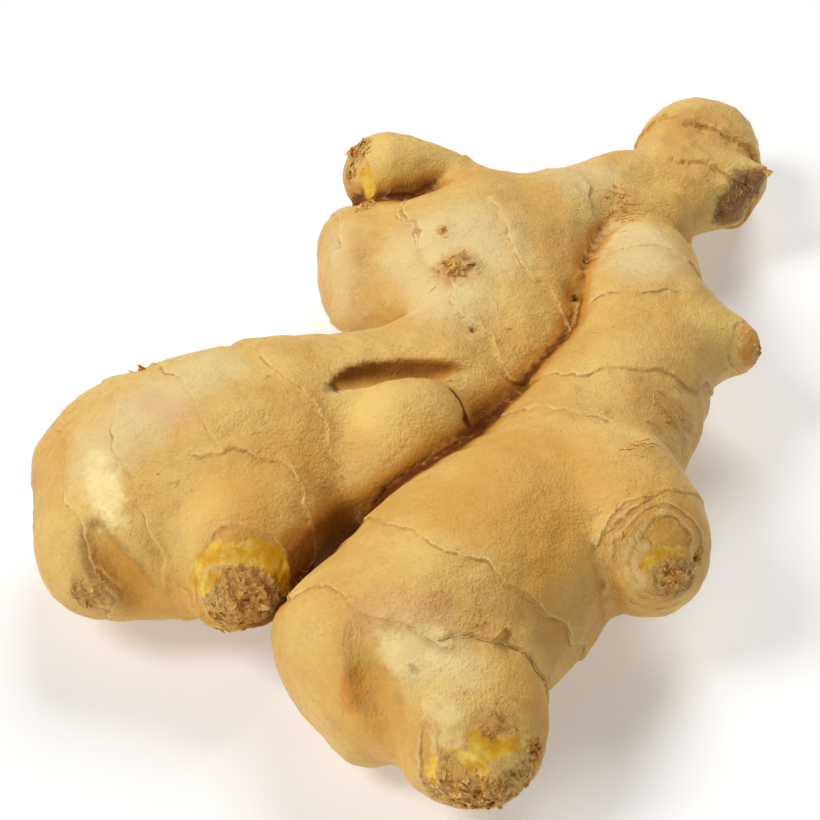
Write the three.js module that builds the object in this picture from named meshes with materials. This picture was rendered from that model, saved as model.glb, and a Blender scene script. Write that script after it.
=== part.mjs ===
// A fresh ginger rhizome, one "hand" with two long fingers, lying on a table.
// Millimetres, +Z up. The origin is at the middle of the footprint, on the table.
// The whole hand grew as one piece, so it is one closed solid: an implicit
// surface of swollen limbs, with the rings, eyes, folds and scars of the skin
// raised from it by formula, turned into triangles and thinned out.

import * as THREE from 'three';
import { SimplifyModifier } from 'three/addons/modifiers/SimplifyModifier.js';

// ---------------------------------------------------------------- driving dimensions
const HAND_LENGTH = 126;        // widest reach, left finger tip to side bud, along X
const HAND_DEPTH = 170;         // front bud to the knob at the back, along Y
const HAND_HEIGHT = 40;         // room for the thickest finger and its lumps, along Z
const CELL = 1.25;              // spacing of the samples that find the surface
const TRIANGLES = 11500;        // faces left after thinning out
const AXIS_STEPS = 4;           // straight pieces between two knuckles of a limb
const CREASE = 1.8;             // rounding where two limbs only touch
const LUMP_HEIGHT = 0.33;       // broad unevenness of the flesh
const LUMPS = { length: 17, count: 9, turn: 0.3 };   // its waves
const RING_WANDER = 0.9;        // how far a leaf ring strays from its plane
const CUP_WANDER = 0.35;        // share of that for the cups round an eye
const WANDER = { length: 11, count: 6, turn: 1.9 };  // its waves
const RING_LIP = 3;             // reach of the raised lip on the older side of a ring
const RING_DIP = 5;             // reach of the dip on the younger side of a ring
const RING_EDGE = 0.4;          // half the width of a ring's step
const RING_REACH = 25;          // beyond this a ring no longer shapes the skin
const OWN_SKIN = 0.3;           // a ring fades where another limb is this close
const NEXT_SKIN = 2.4;          // and is gone where it is this close
const ROOT_SCARS = 26;          // small round root scars on the underside
const SEED = 7;                 // draws the places of the root scars
const FAR = 12;                 // beyond this a lobe has no say in the skin
const RELIEF_DEPTH = 4;         // the relief counts this far from the smooth body
const PINCH_FILL = -0.12;       // what closes a slit thinner than a cell
const NUDGE = 0.05;             // step over which the skin's slope is measured
const LEAST_STEEP = 0.25;       // keeps a vertex in a crease from leaping
const TOUCH = 0.06;             // skin this close to the table lies flat on it

// ---------------------------------------------------------------- the limbs
// knuckles: [x, y, z, radius] along the limb, from its joint to its tip.
// weld: how softly the limb runs into the others at its joint.
// flat: height of its section against its width.
// trims: planes that square off a side, as {at, facing, round}.
const LIMBS = {
  block: [
    {
      weld: 5,
      flat: 0.95,
      knuckles: [[20, 37.5, 17, 11], [8.5, 31.5, 16.5, 13.5], [-6.5, 33, 16, 12.5]],
      trims: [{ at: [-19.5, 32.5, 16], facing: [-1, -0.25, 0.3], round: 4 }],
    },
    { weld: 6, knuckles: [[-6.5, 35.5, 18, 7], [-12, 39.5, 18, 6]] },
    {
      weld: 10,
      flat: 0.95,
      knuckles: [[8.5, 29, 16.5, 14], [10, 12.5, 17, 13.5], [3, 1.5, 17.5, 12.5]],
    },
    {
      weld: 6,
      knuckles: [[18, 29, 16, 12], [16.5, 13, 16.5, 12], [9, -1, 16.5, 10.5]],
    },
  ],
  spine: [
    {
      weld: 6,
      knuckles: [[10.5, 41, 18, 10.5], [21, 44.5, 16.8, 8.3], [33, 54, 15.4, 8.5], [44.5, 59.5, 14, 7.5]],
    },
    { weld: 8, knuckles: [[22, 44, 15.5, 9.5], [31, 46, 15.5, 9], [40.5, 47, 14, 8]] },
  ],
  head: [
    {
      weld: 3,
      knuckles: [[45, 62, 13, 8], [51.5, 74, 10.6, 10.8], [52.5, 68, 11, 10]],
      trims: [{ at: [61, 57.5, 14], facing: [0.9, -0.6, -0.2], round: 1.5 }],
    },
    {
      weld: 5,
      knuckles: [[47, 57, 14, 7.5], [56, 59, 14, 7]],
      trims: [{ at: [61, 57.5, 14], facing: [0.9, -0.6, -0.2], round: 1.5 }],
    },
  ],
  backBud: [
    { weld: 5, knuckles: [[12, 45.5, 21, 5.5], [4, 50.5, 23, 5], [-6, 50.5, 24, 8]] },
  ],
  leftFinger: [
    {
      weld: 7,
      flat: 0.9,
      knuckles: [
        [1.5, -3.5, 17.5, 13], [-16.5, -9, 17, 17],
        [-32.5, -17, 16.9, 19.5], [-44.5, -20, 16.5, 18],
      ],
    },
    {
      weld: 11,
      reach: 3.2,
      flat: 0.9,
      knuckles: [[-15, -20, 16, 13.5], [-35.5, -29.5, 16, 15.5], [-46.5, -32.5, 16, 14]],
    },
    { weld: 3, knuckles: [[-51.5, -30, 15, 10.3], [-52, -36.3, 13.3, 7.6]] },
  ],
  smallLobe: [
    { weld: 2.5, knuckles: [[-3.5, -16.5, 22.5, 10.5], [-8, -21.5, 21.5, 9]] },
  ],
  leftBud: [
    { weld: 4, knuckles: [[-28, -33, 20.5, 11.5], [-27.5, -37, 19.5, 12], [-28.5, -43, 17.5, 8.5]] },
  ],
  rightFinger: [
    {
      weld: 3,
      reach: 1.2,
      flat: 0.92,
      knuckles: [
        [39, 34, 15.5, 9.7], [36.3, 20.5, 17, 11.8], [35.2, 4, 17, 13.4], [29, -11.5, 17.3, 14.6],
        [20.3, -28, 17.3, 17], [7.5, -46, 17.3, 19.5], [-4, -58, 17.3, 17.5], [-11.5, -61, 16.5, 14],
      ],
      trims: [{ at: [-18, -66, 14], facing: [-1, -0.75, -0.1], round: 6 }],
    },
    { weld: 4, knuckles: [[-6, -64, 12, 7.5], [-8.5, -67, 8, 5]] },
  ],
  frontBud: [
    { weld: 4, knuckles: [[5.5, -65.5, 17, 12], [6.5, -71, 16, 12.5], [7.5, -76, 14.5, 9]] },
  ],
  rightBud: [
    { weld: 3, knuckles: [[30, -31, 23, 11.5], [32.4, -38, 21.5, 12], [35.3, -40.6, 19.2, 9.2]] },
  ],
  sideBud: [
    { weld: 6, knuckles: [[41.5, 15, 17, 10], [48, 12.5, 17.5, 7], [52, 11, 17.5, 4.5]] },
  ],
  sideNub: [
    { weld: 1, knuckles: [[51, 11.5, 17.5, 3.5], [54.5, 10.5, 17.5, 2.5]] },
  ],
};

// Folds and grooves pressed into the skin, as swept furrows [x, y, z, radius],
// each with the rounding of its edges.
const FURROWS = [
  // the deep fold behind the small lobe
  {
    edge: 1.4,
    knuckles: [
      [-15.6, -17.3, 31.3, 0.5], [-13.2, -14.4, 31, 1.3], [-9.9, -12, 30.2, 2], [-4.6, -10.2, 29.4, 2.6],
      [1, -9.3, 28.6, 2.1], [6, -8, 28, 1.3], [9.4, -6.3, 27.8, 0.5],
    ],
  },
  // the crack along the lobe's right side
  {
    edge: 1,
    knuckles: [[0.5, -12, 31.3, 0.3], [2.8, -12.3, 30.2, 0.6], [4.6, -15.3, 29.2, 0.8], [5.8, -18, 27.5, 0.9]],
  },
  // the soft valley beside the eye at the left finger's end
  {
    edge: 4.5,
    knuckles: [
      [-50.4, -41, 24.7, 0.6], [-49.2, -43.4, 22.4, 1.9], [-46.3, -45.4, 19.1, 2.1], [-43.2, -46.8, 14.5, 1],
    ],
  },
  // the stained valley beside the front bud
  {
    edge: 4,
    knuckles: [
      [-9.6, -68, 30.2, 0.6], [-8.2, -71.8, 27.2, 1.6], [-7, -75.2, 23.5, 2],
      [-5.6, -77.8, 19, 1.6], [-4.5, -79, 14.5, 0.8],
    ],
  },
];

// Leaf rings: the edge where a dried scale leaf was fixed. Each lies near a plane
// through a point of the skin, and faces the younger end of its limb.
const RINGS = [
  { limb: 'leftFinger', through: [-15.8, -23.7, 28.3], facing: [-0.82, -0.57, 0.03], step: 0.8 },
  { limb: 'leftFinger', through: [-34.3, -23.4, 32.3], facing: [-0.87, -0.49, -0.06], step: 0.9 },
  { limb: 'leftFinger', through: [-43.6, -36.3, 25.7], facing: [-0.94, -0.25, -0.24], step: 0.7 },
  { limb: 'leftFinger', through: [-56.1, -28.1, 26.6], facing: [-0.95, -0.2, -0.24], step: 0.5 },
  { limb: 'rightFinger', through: [37, 25.5, 20], facing: [-0.05, -0.97, 0.2], step: 0.7 },
  { limb: 'rightFinger', through: [35.4, 13, 27.8], facing: [0.15, -0.95, -0.25], step: 0.6 },
  { limb: 'rightFinger', through: [30.6, -9.4, 30.8], facing: [0.05, -0.87, -0.5], step: 0.7 },
  { limb: 'rightFinger', through: [34, -24, 30], facing: [-0.3, -0.85, -0.4], step: 0.4 },
  { limb: 'rightFinger', through: [5.5, -54.2, 32.9], facing: [-0.52, -0.73, -0.44], step: 0.7 },
  { limb: 'rightFinger', through: [-1.1, -66.3, 30.3], facing: [-0.35, -0.75, -0.55], step: 0.9 },
  { limb: 'block', through: [16.9, 27, 27.7], facing: [-0.73, -0.23, -0.64], step: 0.7 },
  { limb: 'block', through: [0.1, 23.8, 28.9], facing: [-0.73, -0.3, -0.6], step: 0.4 },
  { limb: 'block', through: [10.7, -5, 29.2], facing: [-0.67, -0.24, -0.7], step: 0.4 },
  { limb: 'block', through: [-15, 33, 20], facing: [-1, -0.1, 0.1], step: 0.6 },
  { limb: 'spine', through: [29.7, 41.4, 24.1], facing: [0.87, 0.47, -0.15], step: 0.6 },
  { limb: 'head', through: [46.6, 56, 20.7], facing: [0.35, 0.93, -0.1], step: 0.6 },
  { limb: 'head', through: [50.8, 68.3, 20.6], facing: [0.3, 0.94, 0.15], step: 0.7 },
  { limb: 'backBud', through: [2.5, 39, 28.9], facing: [-0.93, 0.3, 0.1], step: 0.6 },
  { limb: 'leftBud', through: [-24.7, -34.2, 29.4], facing: [-0.03, -0.68, 0.74], step: 0.6 },
  { limb: 'rightBud', through: [32, -43.5, 27], facing: [0.57, -0.81, 0.08], step: 0.7 },
  { limb: 'frontBud', through: [14, -66, 27], facing: [0.1, -0.95, 0.3], step: 0.9 },
];

// Eyes: the growing tips, cups of scale leaves set one in the other round a nub.
// cups are how far behind the tip each cup's edge lies.
const EYES = [
  {
    limb: 'leftBud', tip: [-28.9, -50.8, 20.7], facing: [-0.05, -0.92, 0.38],
    cups: [1.2, 3, 5.2], step: 0.8,
  },
  {
    limb: 'frontBud', tip: [8.3, -83.6, 18.2], facing: [0.05, -0.9, 0.43],
    cups: [1.2, 3, 5.4], step: 0.9,
  },
  {
    limb: 'rightBud', tip: [39.2, -47, 22], facing: [0.35, -0.84, 0.42],
    cups: [1, 2.4, 4.4], step: 0.8,
  },
  {
    limb: 'backBud', tip: [-12, 46.8, 27.2], facing: [-0.78, -0.48, 0.4],
    cups: [1, 2.6, 4.6], step: 0.7,
  },
  {
    limb: 'sideNub', tip: [56.8, 9.9, 17.8], facing: [0.93, -0.33, 0.1],
    cups: [0.7, 2], step: 0.5,
  },
  {
    limb: 'leftFinger', tip: [-50.6, -45.8, 16.4], facing: [-0.1, -0.95, 0.3],
    cups: [0.8, 2], step: 0.5, radius: 6,
  },
];

// Scars, knots and pits: places where a root, a shoot or another finger was.
const SCARS = [
  { at: [6, 17.8, 29.6], radius: 3.2, height: 1.5, hollow: 0.9 },
  { at: [3.4, 26, 30.8], radius: 2, height: 0.7, hollow: 0.3 },
  { at: [25, 16.1, 23.8], radius: 2.4, height: -2.2, hollow: 0 },
  { at: [3.2, -49.3, 35.1], radius: 1.8, height: 0.5, hollow: 0.4 },
  { at: [32.1, -29.2, 32.8], radius: 2, height: -1.1, hollow: 0 },
  { at: [34.5, -29, 32.2], radius: 1.8, height: 0.7, hollow: 0 },
  { at: [20.6, -33.2, 34.2], radius: 1.5, height: 0.5, hollow: 0.5 },
  { at: [-4.2, -59.7, 33.6], radius: 2.2, height: 0.6, hollow: 0.5 },
  { at: [56.5, 54.2, 16.7], radius: 4.5, height: -0.9, hollow: 0 },
  { at: [61, 62, 15.5], radius: 1.2, height: 1.6, hollow: 0 },
];

// ---------------------------------------------------------------- small sums
function clamp(v, low, high) {
  return Math.min(Math.max(v, low), high);
}

function smoothstep(v, low, high) {
  const t = clamp((v - low) / (high - low), 0, 1);
  return t * t * (3 - 2 * t);
}

function unit(v) {
  const length = Math.hypot(...v);
  return v.map((c) => c / length);
}

// Joins two surfaces with a rounding of width k, and its counterpart for cuts.
function weld(a, b, k) {
  const h = Math.max(k - Math.abs(a - b), 0) / k;
  return Math.min(a, b) - h * h * k * 0.25;
}

function carve(a, b, k) {
  const h = Math.max(k - Math.abs(a - b), 0) / k;
  return Math.max(a, b) + h * h * k * 0.25;
}

// Even, repeatable unevenness: waves in directions spread over a sphere.
const GOLDEN_ANGLE = Math.PI * (3 - Math.sqrt(5));

function waves(x, y, z, { length, count, turn }) {
  let sum = 0;
  for (let i = 0; i < count; i += 1) {
    const up = 1 - (2 * (i + 0.5)) / count;
    const round = Math.sqrt(1 - up * up);
    const angle = GOLDEN_ANGLE * (i + turn);
    const k = (2 * Math.PI) / (length * (0.75 + 0.5 * ((i * 0.618) % 1)));
    const along = round * Math.cos(angle) * x + round * Math.sin(angle) * y + up * z;
    sum += Math.sin(k * along + 1.7 * i + turn);
  }
  return sum / Math.sqrt(count);
}

// ---------------------------------------------------------------- limbs as swept spheres
// A smooth line through the knuckles, radius and all (Catmull-Rom).
function axisThrough(knuckles) {
  const last = knuckles.length - 1;
  const before = knuckles[0].map((c, i) => 2 * c - knuckles[1][i]);
  const after = knuckles[last].map((c, i) => 2 * c - knuckles[last - 1][i]);
  const all = [before, ...knuckles, after];
  const line = [];
  for (let n = 1; n <= last; n += 1) {
    const [a, b, c, d] = all.slice(n - 1, n + 3);
    for (let s = 0; s < AXIS_STEPS; s += 1) {
      const t = s / AXIS_STEPS;
      line.push(b.map((_, i) => 0.5 * (2 * b[i] + (c[i] - a[i]) * t
        + (2 * a[i] - 5 * b[i] + 4 * c[i] - d[i]) * t * t
        + (3 * b[i] - a[i] - 3 * c[i] + d[i]) * t * t * t)));
    }
  }
  line.push(knuckles[last]);
  return line;
}

function prepareLobe(lobe) {
  const axis = axisThrough(lobe.knuckles);
  const middle = axis[Math.floor(axis.length / 2)];
  const [mx, my, mz] = middle;
  return {
    axis,
    middle,
    ball: Math.max(...axis.map(([x, y, z, r]) => Math.hypot(x - mx, y - my, z - mz) + r)),
    flat: lobe.flat ?? 1,
    weld: lobe.weld,
    joint: axis[0],
    reach: (lobe.reach ?? 1.8) * axis[0][3],
    trims: (lobe.trims ?? []).map((trim) => ({ ...trim, facing: unit(trim.facing) })),
  };
}

function sweptDistance(lobe, x, y, z) {
  let nearest = Infinity;
  for (let i = 1; i < lobe.axis.length; i += 1) {
    const [ax, ay, az, ar] = lobe.axis[i - 1];
    const [bx, by, bz, br] = lobe.axis[i];
    const ux = bx - ax;
    const uy = by - ay;
    const uz = bz - az;
    const t = clamp(((x - ax) * ux + (y - ay) * uy + (z - az) * uz) / (ux * ux + uy * uy + uz * uz), 0, 1);
    const dz = (z - az - t * uz) / lobe.flat;
    const dx = x - ax - t * ux;
    const dy = y - ay - t * uy;
    const distance = Math.sqrt(dx * dx + dy * dy + dz * dz) - ar - t * (br - ar);
    nearest = Math.min(nearest, distance);
  }
  return nearest;
}

// Far from a lobe, the distance to the ball that holds it is near enough.
function lobeDistance(lobe, x, y, z) {
  const [mx, my, mz] = lobe.middle;
  const outside = Math.sqrt((x - mx) ** 2 + (y - my) ** 2 + (z - mz) ** 2) - lobe.ball;
  if (outside > FAR) {
    return outside;
  }
  let distance = sweptDistance(lobe, x, y, z);
  for (const { at, facing, round } of lobe.trims) {
    const side = (x - at[0]) * facing[0] + (y - at[1]) * facing[1] + (z - at[2]) * facing[2];
    distance = carve(distance, side, round);
  }
  return distance;
}

const limbNames = Object.keys(LIMBS);
const lobes = limbNames.flatMap((name, limb) => LIMBS[name].map((lobe) => ({ ...prepareLobe(lobe), limb })));
const furrows = FURROWS.map((furrow) => ({ ...prepareLobe({ ...furrow, weld: 0 }), edge: furrow.edge }));

// The smooth body: distance to the skin, and each limb's own distance in own[].
const own = new Float64Array(limbNames.length);

function bodyDistance(x, y, z) {
  let body = Infinity;
  own.fill(Infinity);
  for (const lobe of lobes) {
    const distance = lobeDistance(lobe, x, y, z);
    own[lobe.limb] = Math.min(own[lobe.limb], distance);
    const [jx, jy, jz] = lobe.joint;
    const q = ((x - jx) ** 2 + (y - jy) ** 2 + (z - jz) ** 2) / lobe.reach ** 2;
    const softness = CREASE + (lobe.weld - CREASE) * Math.exp(-q * q);
    body = body === Infinity ? distance : weld(body, distance, softness);
  }
  for (const furrow of furrows) {
    body = carve(body, -sweptDistance(furrow, x, y, z), furrow.edge);
  }
  return body;
}

// ---------------------------------------------------------------- skin relief
function onLimb(limb) {
  return 1 - smoothstep(own[limb] - Math.min(...own), OWN_SKIN, NEXT_SKIN);
}

// A ring's section: older skin stands up as a lip, younger skin dips behind it.
function ringSection(ahead, step) {
  const lip = 0.5 * step * Math.exp(Math.min(ahead, 0) / RING_LIP);
  const dip = -0.5 * step * Math.exp(-Math.max(ahead, 0) / RING_DIP);
  const past = smoothstep(ahead, -RING_EDGE, RING_EDGE);
  return lip + (dip - lip) * past;
}

const rings = RINGS.map((ring) => ({
  ...ring,
  limb: limbNames.indexOf(ring.limb),
  facing: unit(ring.facing),
}));
const cups = EYES.flatMap((eye) => eye.cups.map((behind) => {
  const facing = unit(eye.facing);
  return {
    limb: limbNames.indexOf(eye.limb),
    through: eye.tip.map((c, i) => c - behind * facing[i]),
    facing,
    step: eye.step,
    radius: eye.radius ?? Infinity,
  };
}));

function drawRootScars() {
  let state = SEED;
  const draw = () => {
    state = (state * 16807) % 2147483647;
    return state / 2147483647;
  };
  draw();
  const scars = [];
  for (let i = 0; i < ROOT_SCARS; i += 1) {
    const lobe = lobes[Math.floor(draw() * lobes.length)];
    const [x, y, z, r] = lobe.axis[Math.floor(draw() * lobe.axis.length)];
    const angle = Math.PI * (1.15 + 0.7 * draw());
    const along = 2 * Math.PI * draw();
    const out = [Math.cos(angle) * Math.cos(along), Math.cos(angle) * Math.sin(along), Math.sin(angle)];
    scars.push({
      at: [x + out[0] * r, y + out[1] * r, z + out[2] * r * lobe.flat],
      radius: 1.4 + draw(),
      height: 0.5 + 0.4 * draw(),
      hollow: 0.5,
    });
  }
  return scars;
}

const scars = [...SCARS, ...drawRootScars()];

function reliefHeight(x, y, z) {
  let height = LUMP_HEIGHT * waves(x, y, z, LUMPS);
  const wander = RING_WANDER * waves(x, y, z, WANDER);
  for (const { limb, through, facing, step } of rings) {
    const ahead = (x - through[0]) * facing[0] + (y - through[1]) * facing[1] + (z - through[2]) * facing[2];
    if (Math.abs(ahead) < RING_REACH) {
      height += onLimb(limb) * ringSection(ahead + wander, step);
    }
  }
  for (const { limb, through, facing, step, radius } of cups) {
    const dx = x - through[0];
    const dy = y - through[1];
    const dz = z - through[2];
    const ahead = dx * facing[0] + dy * facing[1] + dz * facing[2];
    const near = 1 - smoothstep(Math.sqrt(dx * dx + dy * dy + dz * dz), 0.6 * radius, radius);
    if (ahead > -2 * RING_LIP) {
      height += (near || 0) * onLimb(limb) * ringSection(ahead + CUP_WANDER * wander, step);
    }
  }
  for (const { at, radius, height: rise, hollow } of scars) {
    const q = ((x - at[0]) ** 2 + (y - at[1]) ** 2 + (z - at[2]) ** 2) / radius ** 2;
    if (q < 9) {
      height += rise * (Math.exp(-q) - hollow * Math.exp(-5 * q));
    }
  }
  return height;
}

function skinDistance(x, y, z) {
  const body = bodyDistance(x, y, z);
  const skin = Math.abs(body) < RELIEF_DEPTH ? body - reliefHeight(x, y, z) : body;
  return Math.max(skin, -z);
}

// ---------------------------------------------------------------- surface to triangles
// Closes slits thinner than a cell, where four samples alternate in and out.
function closePinches(value, steps) {
  const end = value.length - steps[0] - steps[1] - steps[2];
  let closed = true;
  while (closed) {
    closed = false;
    for (let n = 0; n < end; n += 1) {
      for (const [s, t] of [[steps[0], steps[1]], [steps[1], steps[2]], [steps[2], steps[0]]]) {
        const square = [n, n + s, n + s + t, n + t];
        const [a, b, c, d] = square.map((m) => value[m] < 0);
        if (a === c && b === d && a !== b) {
          square.filter((m) => value[m] >= 0).forEach((m) => {
            value[m] = PINCH_FILL;
          });
          closed = true;
        }
      }
    }
  }
}

// One vertex in each cell that the skin crosses, one quad for each crossed edge.
function netOverSkin() {
  const low = [-HAND_LENGTH / 2 - 5, -HAND_DEPTH / 2 - 5, -2 * CELL];
  const size = [HAND_LENGTH + 10, HAND_DEPTH + 10, HAND_HEIGHT + 2 * CELL];
  const [nx, ny, nz] = size.map((s) => Math.ceil(s / CELL) + 1);
  const at = (i, j, k) => (i * ny + j) * nz + k;
  const value = new Float64Array(nx * ny * nz);
  for (let i = 0; i < nx; i += 1) {
    for (let j = 0; j < ny; j += 1) {
      for (let k = 0; k < nz; k += 1) {
        value[at(i, j, k)] = skinDistance(low[0] + i * CELL, low[1] + j * CELL, low[2] + k * CELL);
      }
    }
  }
  const steps = [at(1, 0, 0), at(0, 1, 0), at(0, 0, 1)];
  closePinches(value, steps);
  const cellVertex = new Int32Array(nx * ny * nz).fill(-1);
  const positions = [];
  for (let i = 0; i < nx - 1; i += 1) {
    for (let j = 0; j < ny - 1; j += 1) {
      for (let k = 0; k < nz - 1; k += 1) {
        const corner = at(i, j, k);
        const sum = [0, 0, 0];
        let crossings = 0;
        for (let axis = 0; axis < 3; axis += 1) {
          const [s, t] = [(axis + 1) % 3, (axis + 2) % 3];
          for (const [a, b] of [[0, 0], [0, 1], [1, 0], [1, 1]]) {
            const from = corner + a * steps[s] + b * steps[t];
            const v0 = value[from];
            const v1 = value[from + steps[axis]];
            if (v0 < 0 !== v1 < 0) {
              sum[axis] += v0 / (v0 - v1);
              sum[s] += a;
              sum[t] += b;
              crossings += 1;
            }
          }
        }
        if (crossings > 0) {
          cellVertex[corner] = positions.length / 3;
          [i, j, k].forEach((c, axis) => positions.push(low[axis] + CELL * (c + sum[axis] / crossings)));
        }
      }
    }
  }
  const triangles = [];
  for (let i = 1; i < nx - 1; i += 1) {
    for (let j = 1; j < ny - 1; j += 1) {
      for (let k = 1; k < nz - 1; k += 1) {
        const corner = at(i, j, k);
        for (let axis = 0; axis < 3; axis += 1) {
          const inside = value[corner] < 0;
          if (inside !== value[corner + steps[axis]] < 0) {
            const s = steps[(axis + 1) % 3];
            const t = steps[(axis + 2) % 3];
            const quad = [corner - s - t, corner - t, corner, corner - s].map((c) => cellVertex[c]);
            const [a, b, c, d] = inside ? quad : quad.reverse();
            triangles.push(a, b, c, a, c, d);
          }
        }
      }
    }
  }
  return { positions, triangles };
}

// Moves each vertex onto the skin along its slope.
function settleOnSkin(positions, rounds) {
  for (let v = 0; v < positions.length; v += 3) {
    for (let round = 0; round < rounds; round += 1) {
      const [x, y, z] = positions.slice(v, v + 3);
      const distance = skinDistance(x, y, z);
      const slope = [
        (skinDistance(x + NUDGE, y, z) - skinDistance(x - NUDGE, y, z)) / (2 * NUDGE),
        (skinDistance(x, y + NUDGE, z) - skinDistance(x, y - NUDGE, z)) / (2 * NUDGE),
        (skinDistance(x, y, z + NUDGE) - skinDistance(x, y, z - NUDGE)) / (2 * NUDGE),
      ];
      const steep = Math.max(slope[0] ** 2 + slope[1] ** 2 + slope[2] ** 2, LEAST_STEEP);
      const move = clamp(distance / steep, -CELL / 3, CELL / 3);
      slope.forEach((s, axis) => {
        positions[v + axis] -= move * s;
      });
    }
  }
}

// Where the hand rests, its skin lies exactly on the table.
function flattenFeet(position) {
  for (let v = 0; v < position.count; v += 1) {
    if (position.getZ(v) < TOUCH) {
      position.setZ(v, 0);
    }
  }
}

async function rhizomeGeometry() {
  const { positions, triangles } = netOverSkin();
  settleOnSkin(positions, 3);
  const fine = new THREE.BufferGeometry();
  fine.setAttribute('position', new THREE.Float32BufferAttribute(positions, 3));
  fine.setIndex(triangles);
  const surplus = Math.max(0, positions.length / 3 - TRIANGLES / 2);
  const thinned = await new SimplifyModifier().modify(fine, Math.round(surplus));
  flattenFeet(thinned.getAttribute('position'));
  return thinned;
}

// ---------------------------------------------------------------- the hand
const skin = new THREE.MeshStandardMaterial({ color: 0xd6ab68, roughness: 0.6, metalness: 0 });
const rhizome = new THREE.Mesh(await rhizomeGeometry(), skin);
rhizome.name = 'ginger_rhizome';

const hand = new THREE.Group();
hand.add(rhizome);

export default hand;
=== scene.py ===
import math

import bpy
import numpy as np
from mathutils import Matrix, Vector
from mathutils.bvhtree import BVHTree


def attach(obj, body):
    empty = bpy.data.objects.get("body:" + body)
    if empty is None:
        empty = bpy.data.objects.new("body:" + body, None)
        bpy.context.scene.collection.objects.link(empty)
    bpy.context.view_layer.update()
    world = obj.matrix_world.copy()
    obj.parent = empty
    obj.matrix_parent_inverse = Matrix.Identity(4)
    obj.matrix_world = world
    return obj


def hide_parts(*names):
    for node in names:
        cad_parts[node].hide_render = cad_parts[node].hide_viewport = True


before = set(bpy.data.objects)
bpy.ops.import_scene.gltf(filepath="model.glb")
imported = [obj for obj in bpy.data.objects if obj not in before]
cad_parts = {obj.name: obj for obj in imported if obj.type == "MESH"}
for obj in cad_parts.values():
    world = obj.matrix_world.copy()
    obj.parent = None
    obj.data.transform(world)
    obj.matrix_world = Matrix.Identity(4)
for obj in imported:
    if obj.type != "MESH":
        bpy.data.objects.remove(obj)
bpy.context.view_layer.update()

# ---------------------------------------------------------------- the rhizome
# One hand of fresh ginger, an underground stem that has branched and swollen.
# It is all one piece: each limb is a round section swept along a smooth line and
# grown into the next. Knuckles are (x, y, z, radius) in millimetres, joint first.
METRE = 1000.0                  # millimetres

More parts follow.
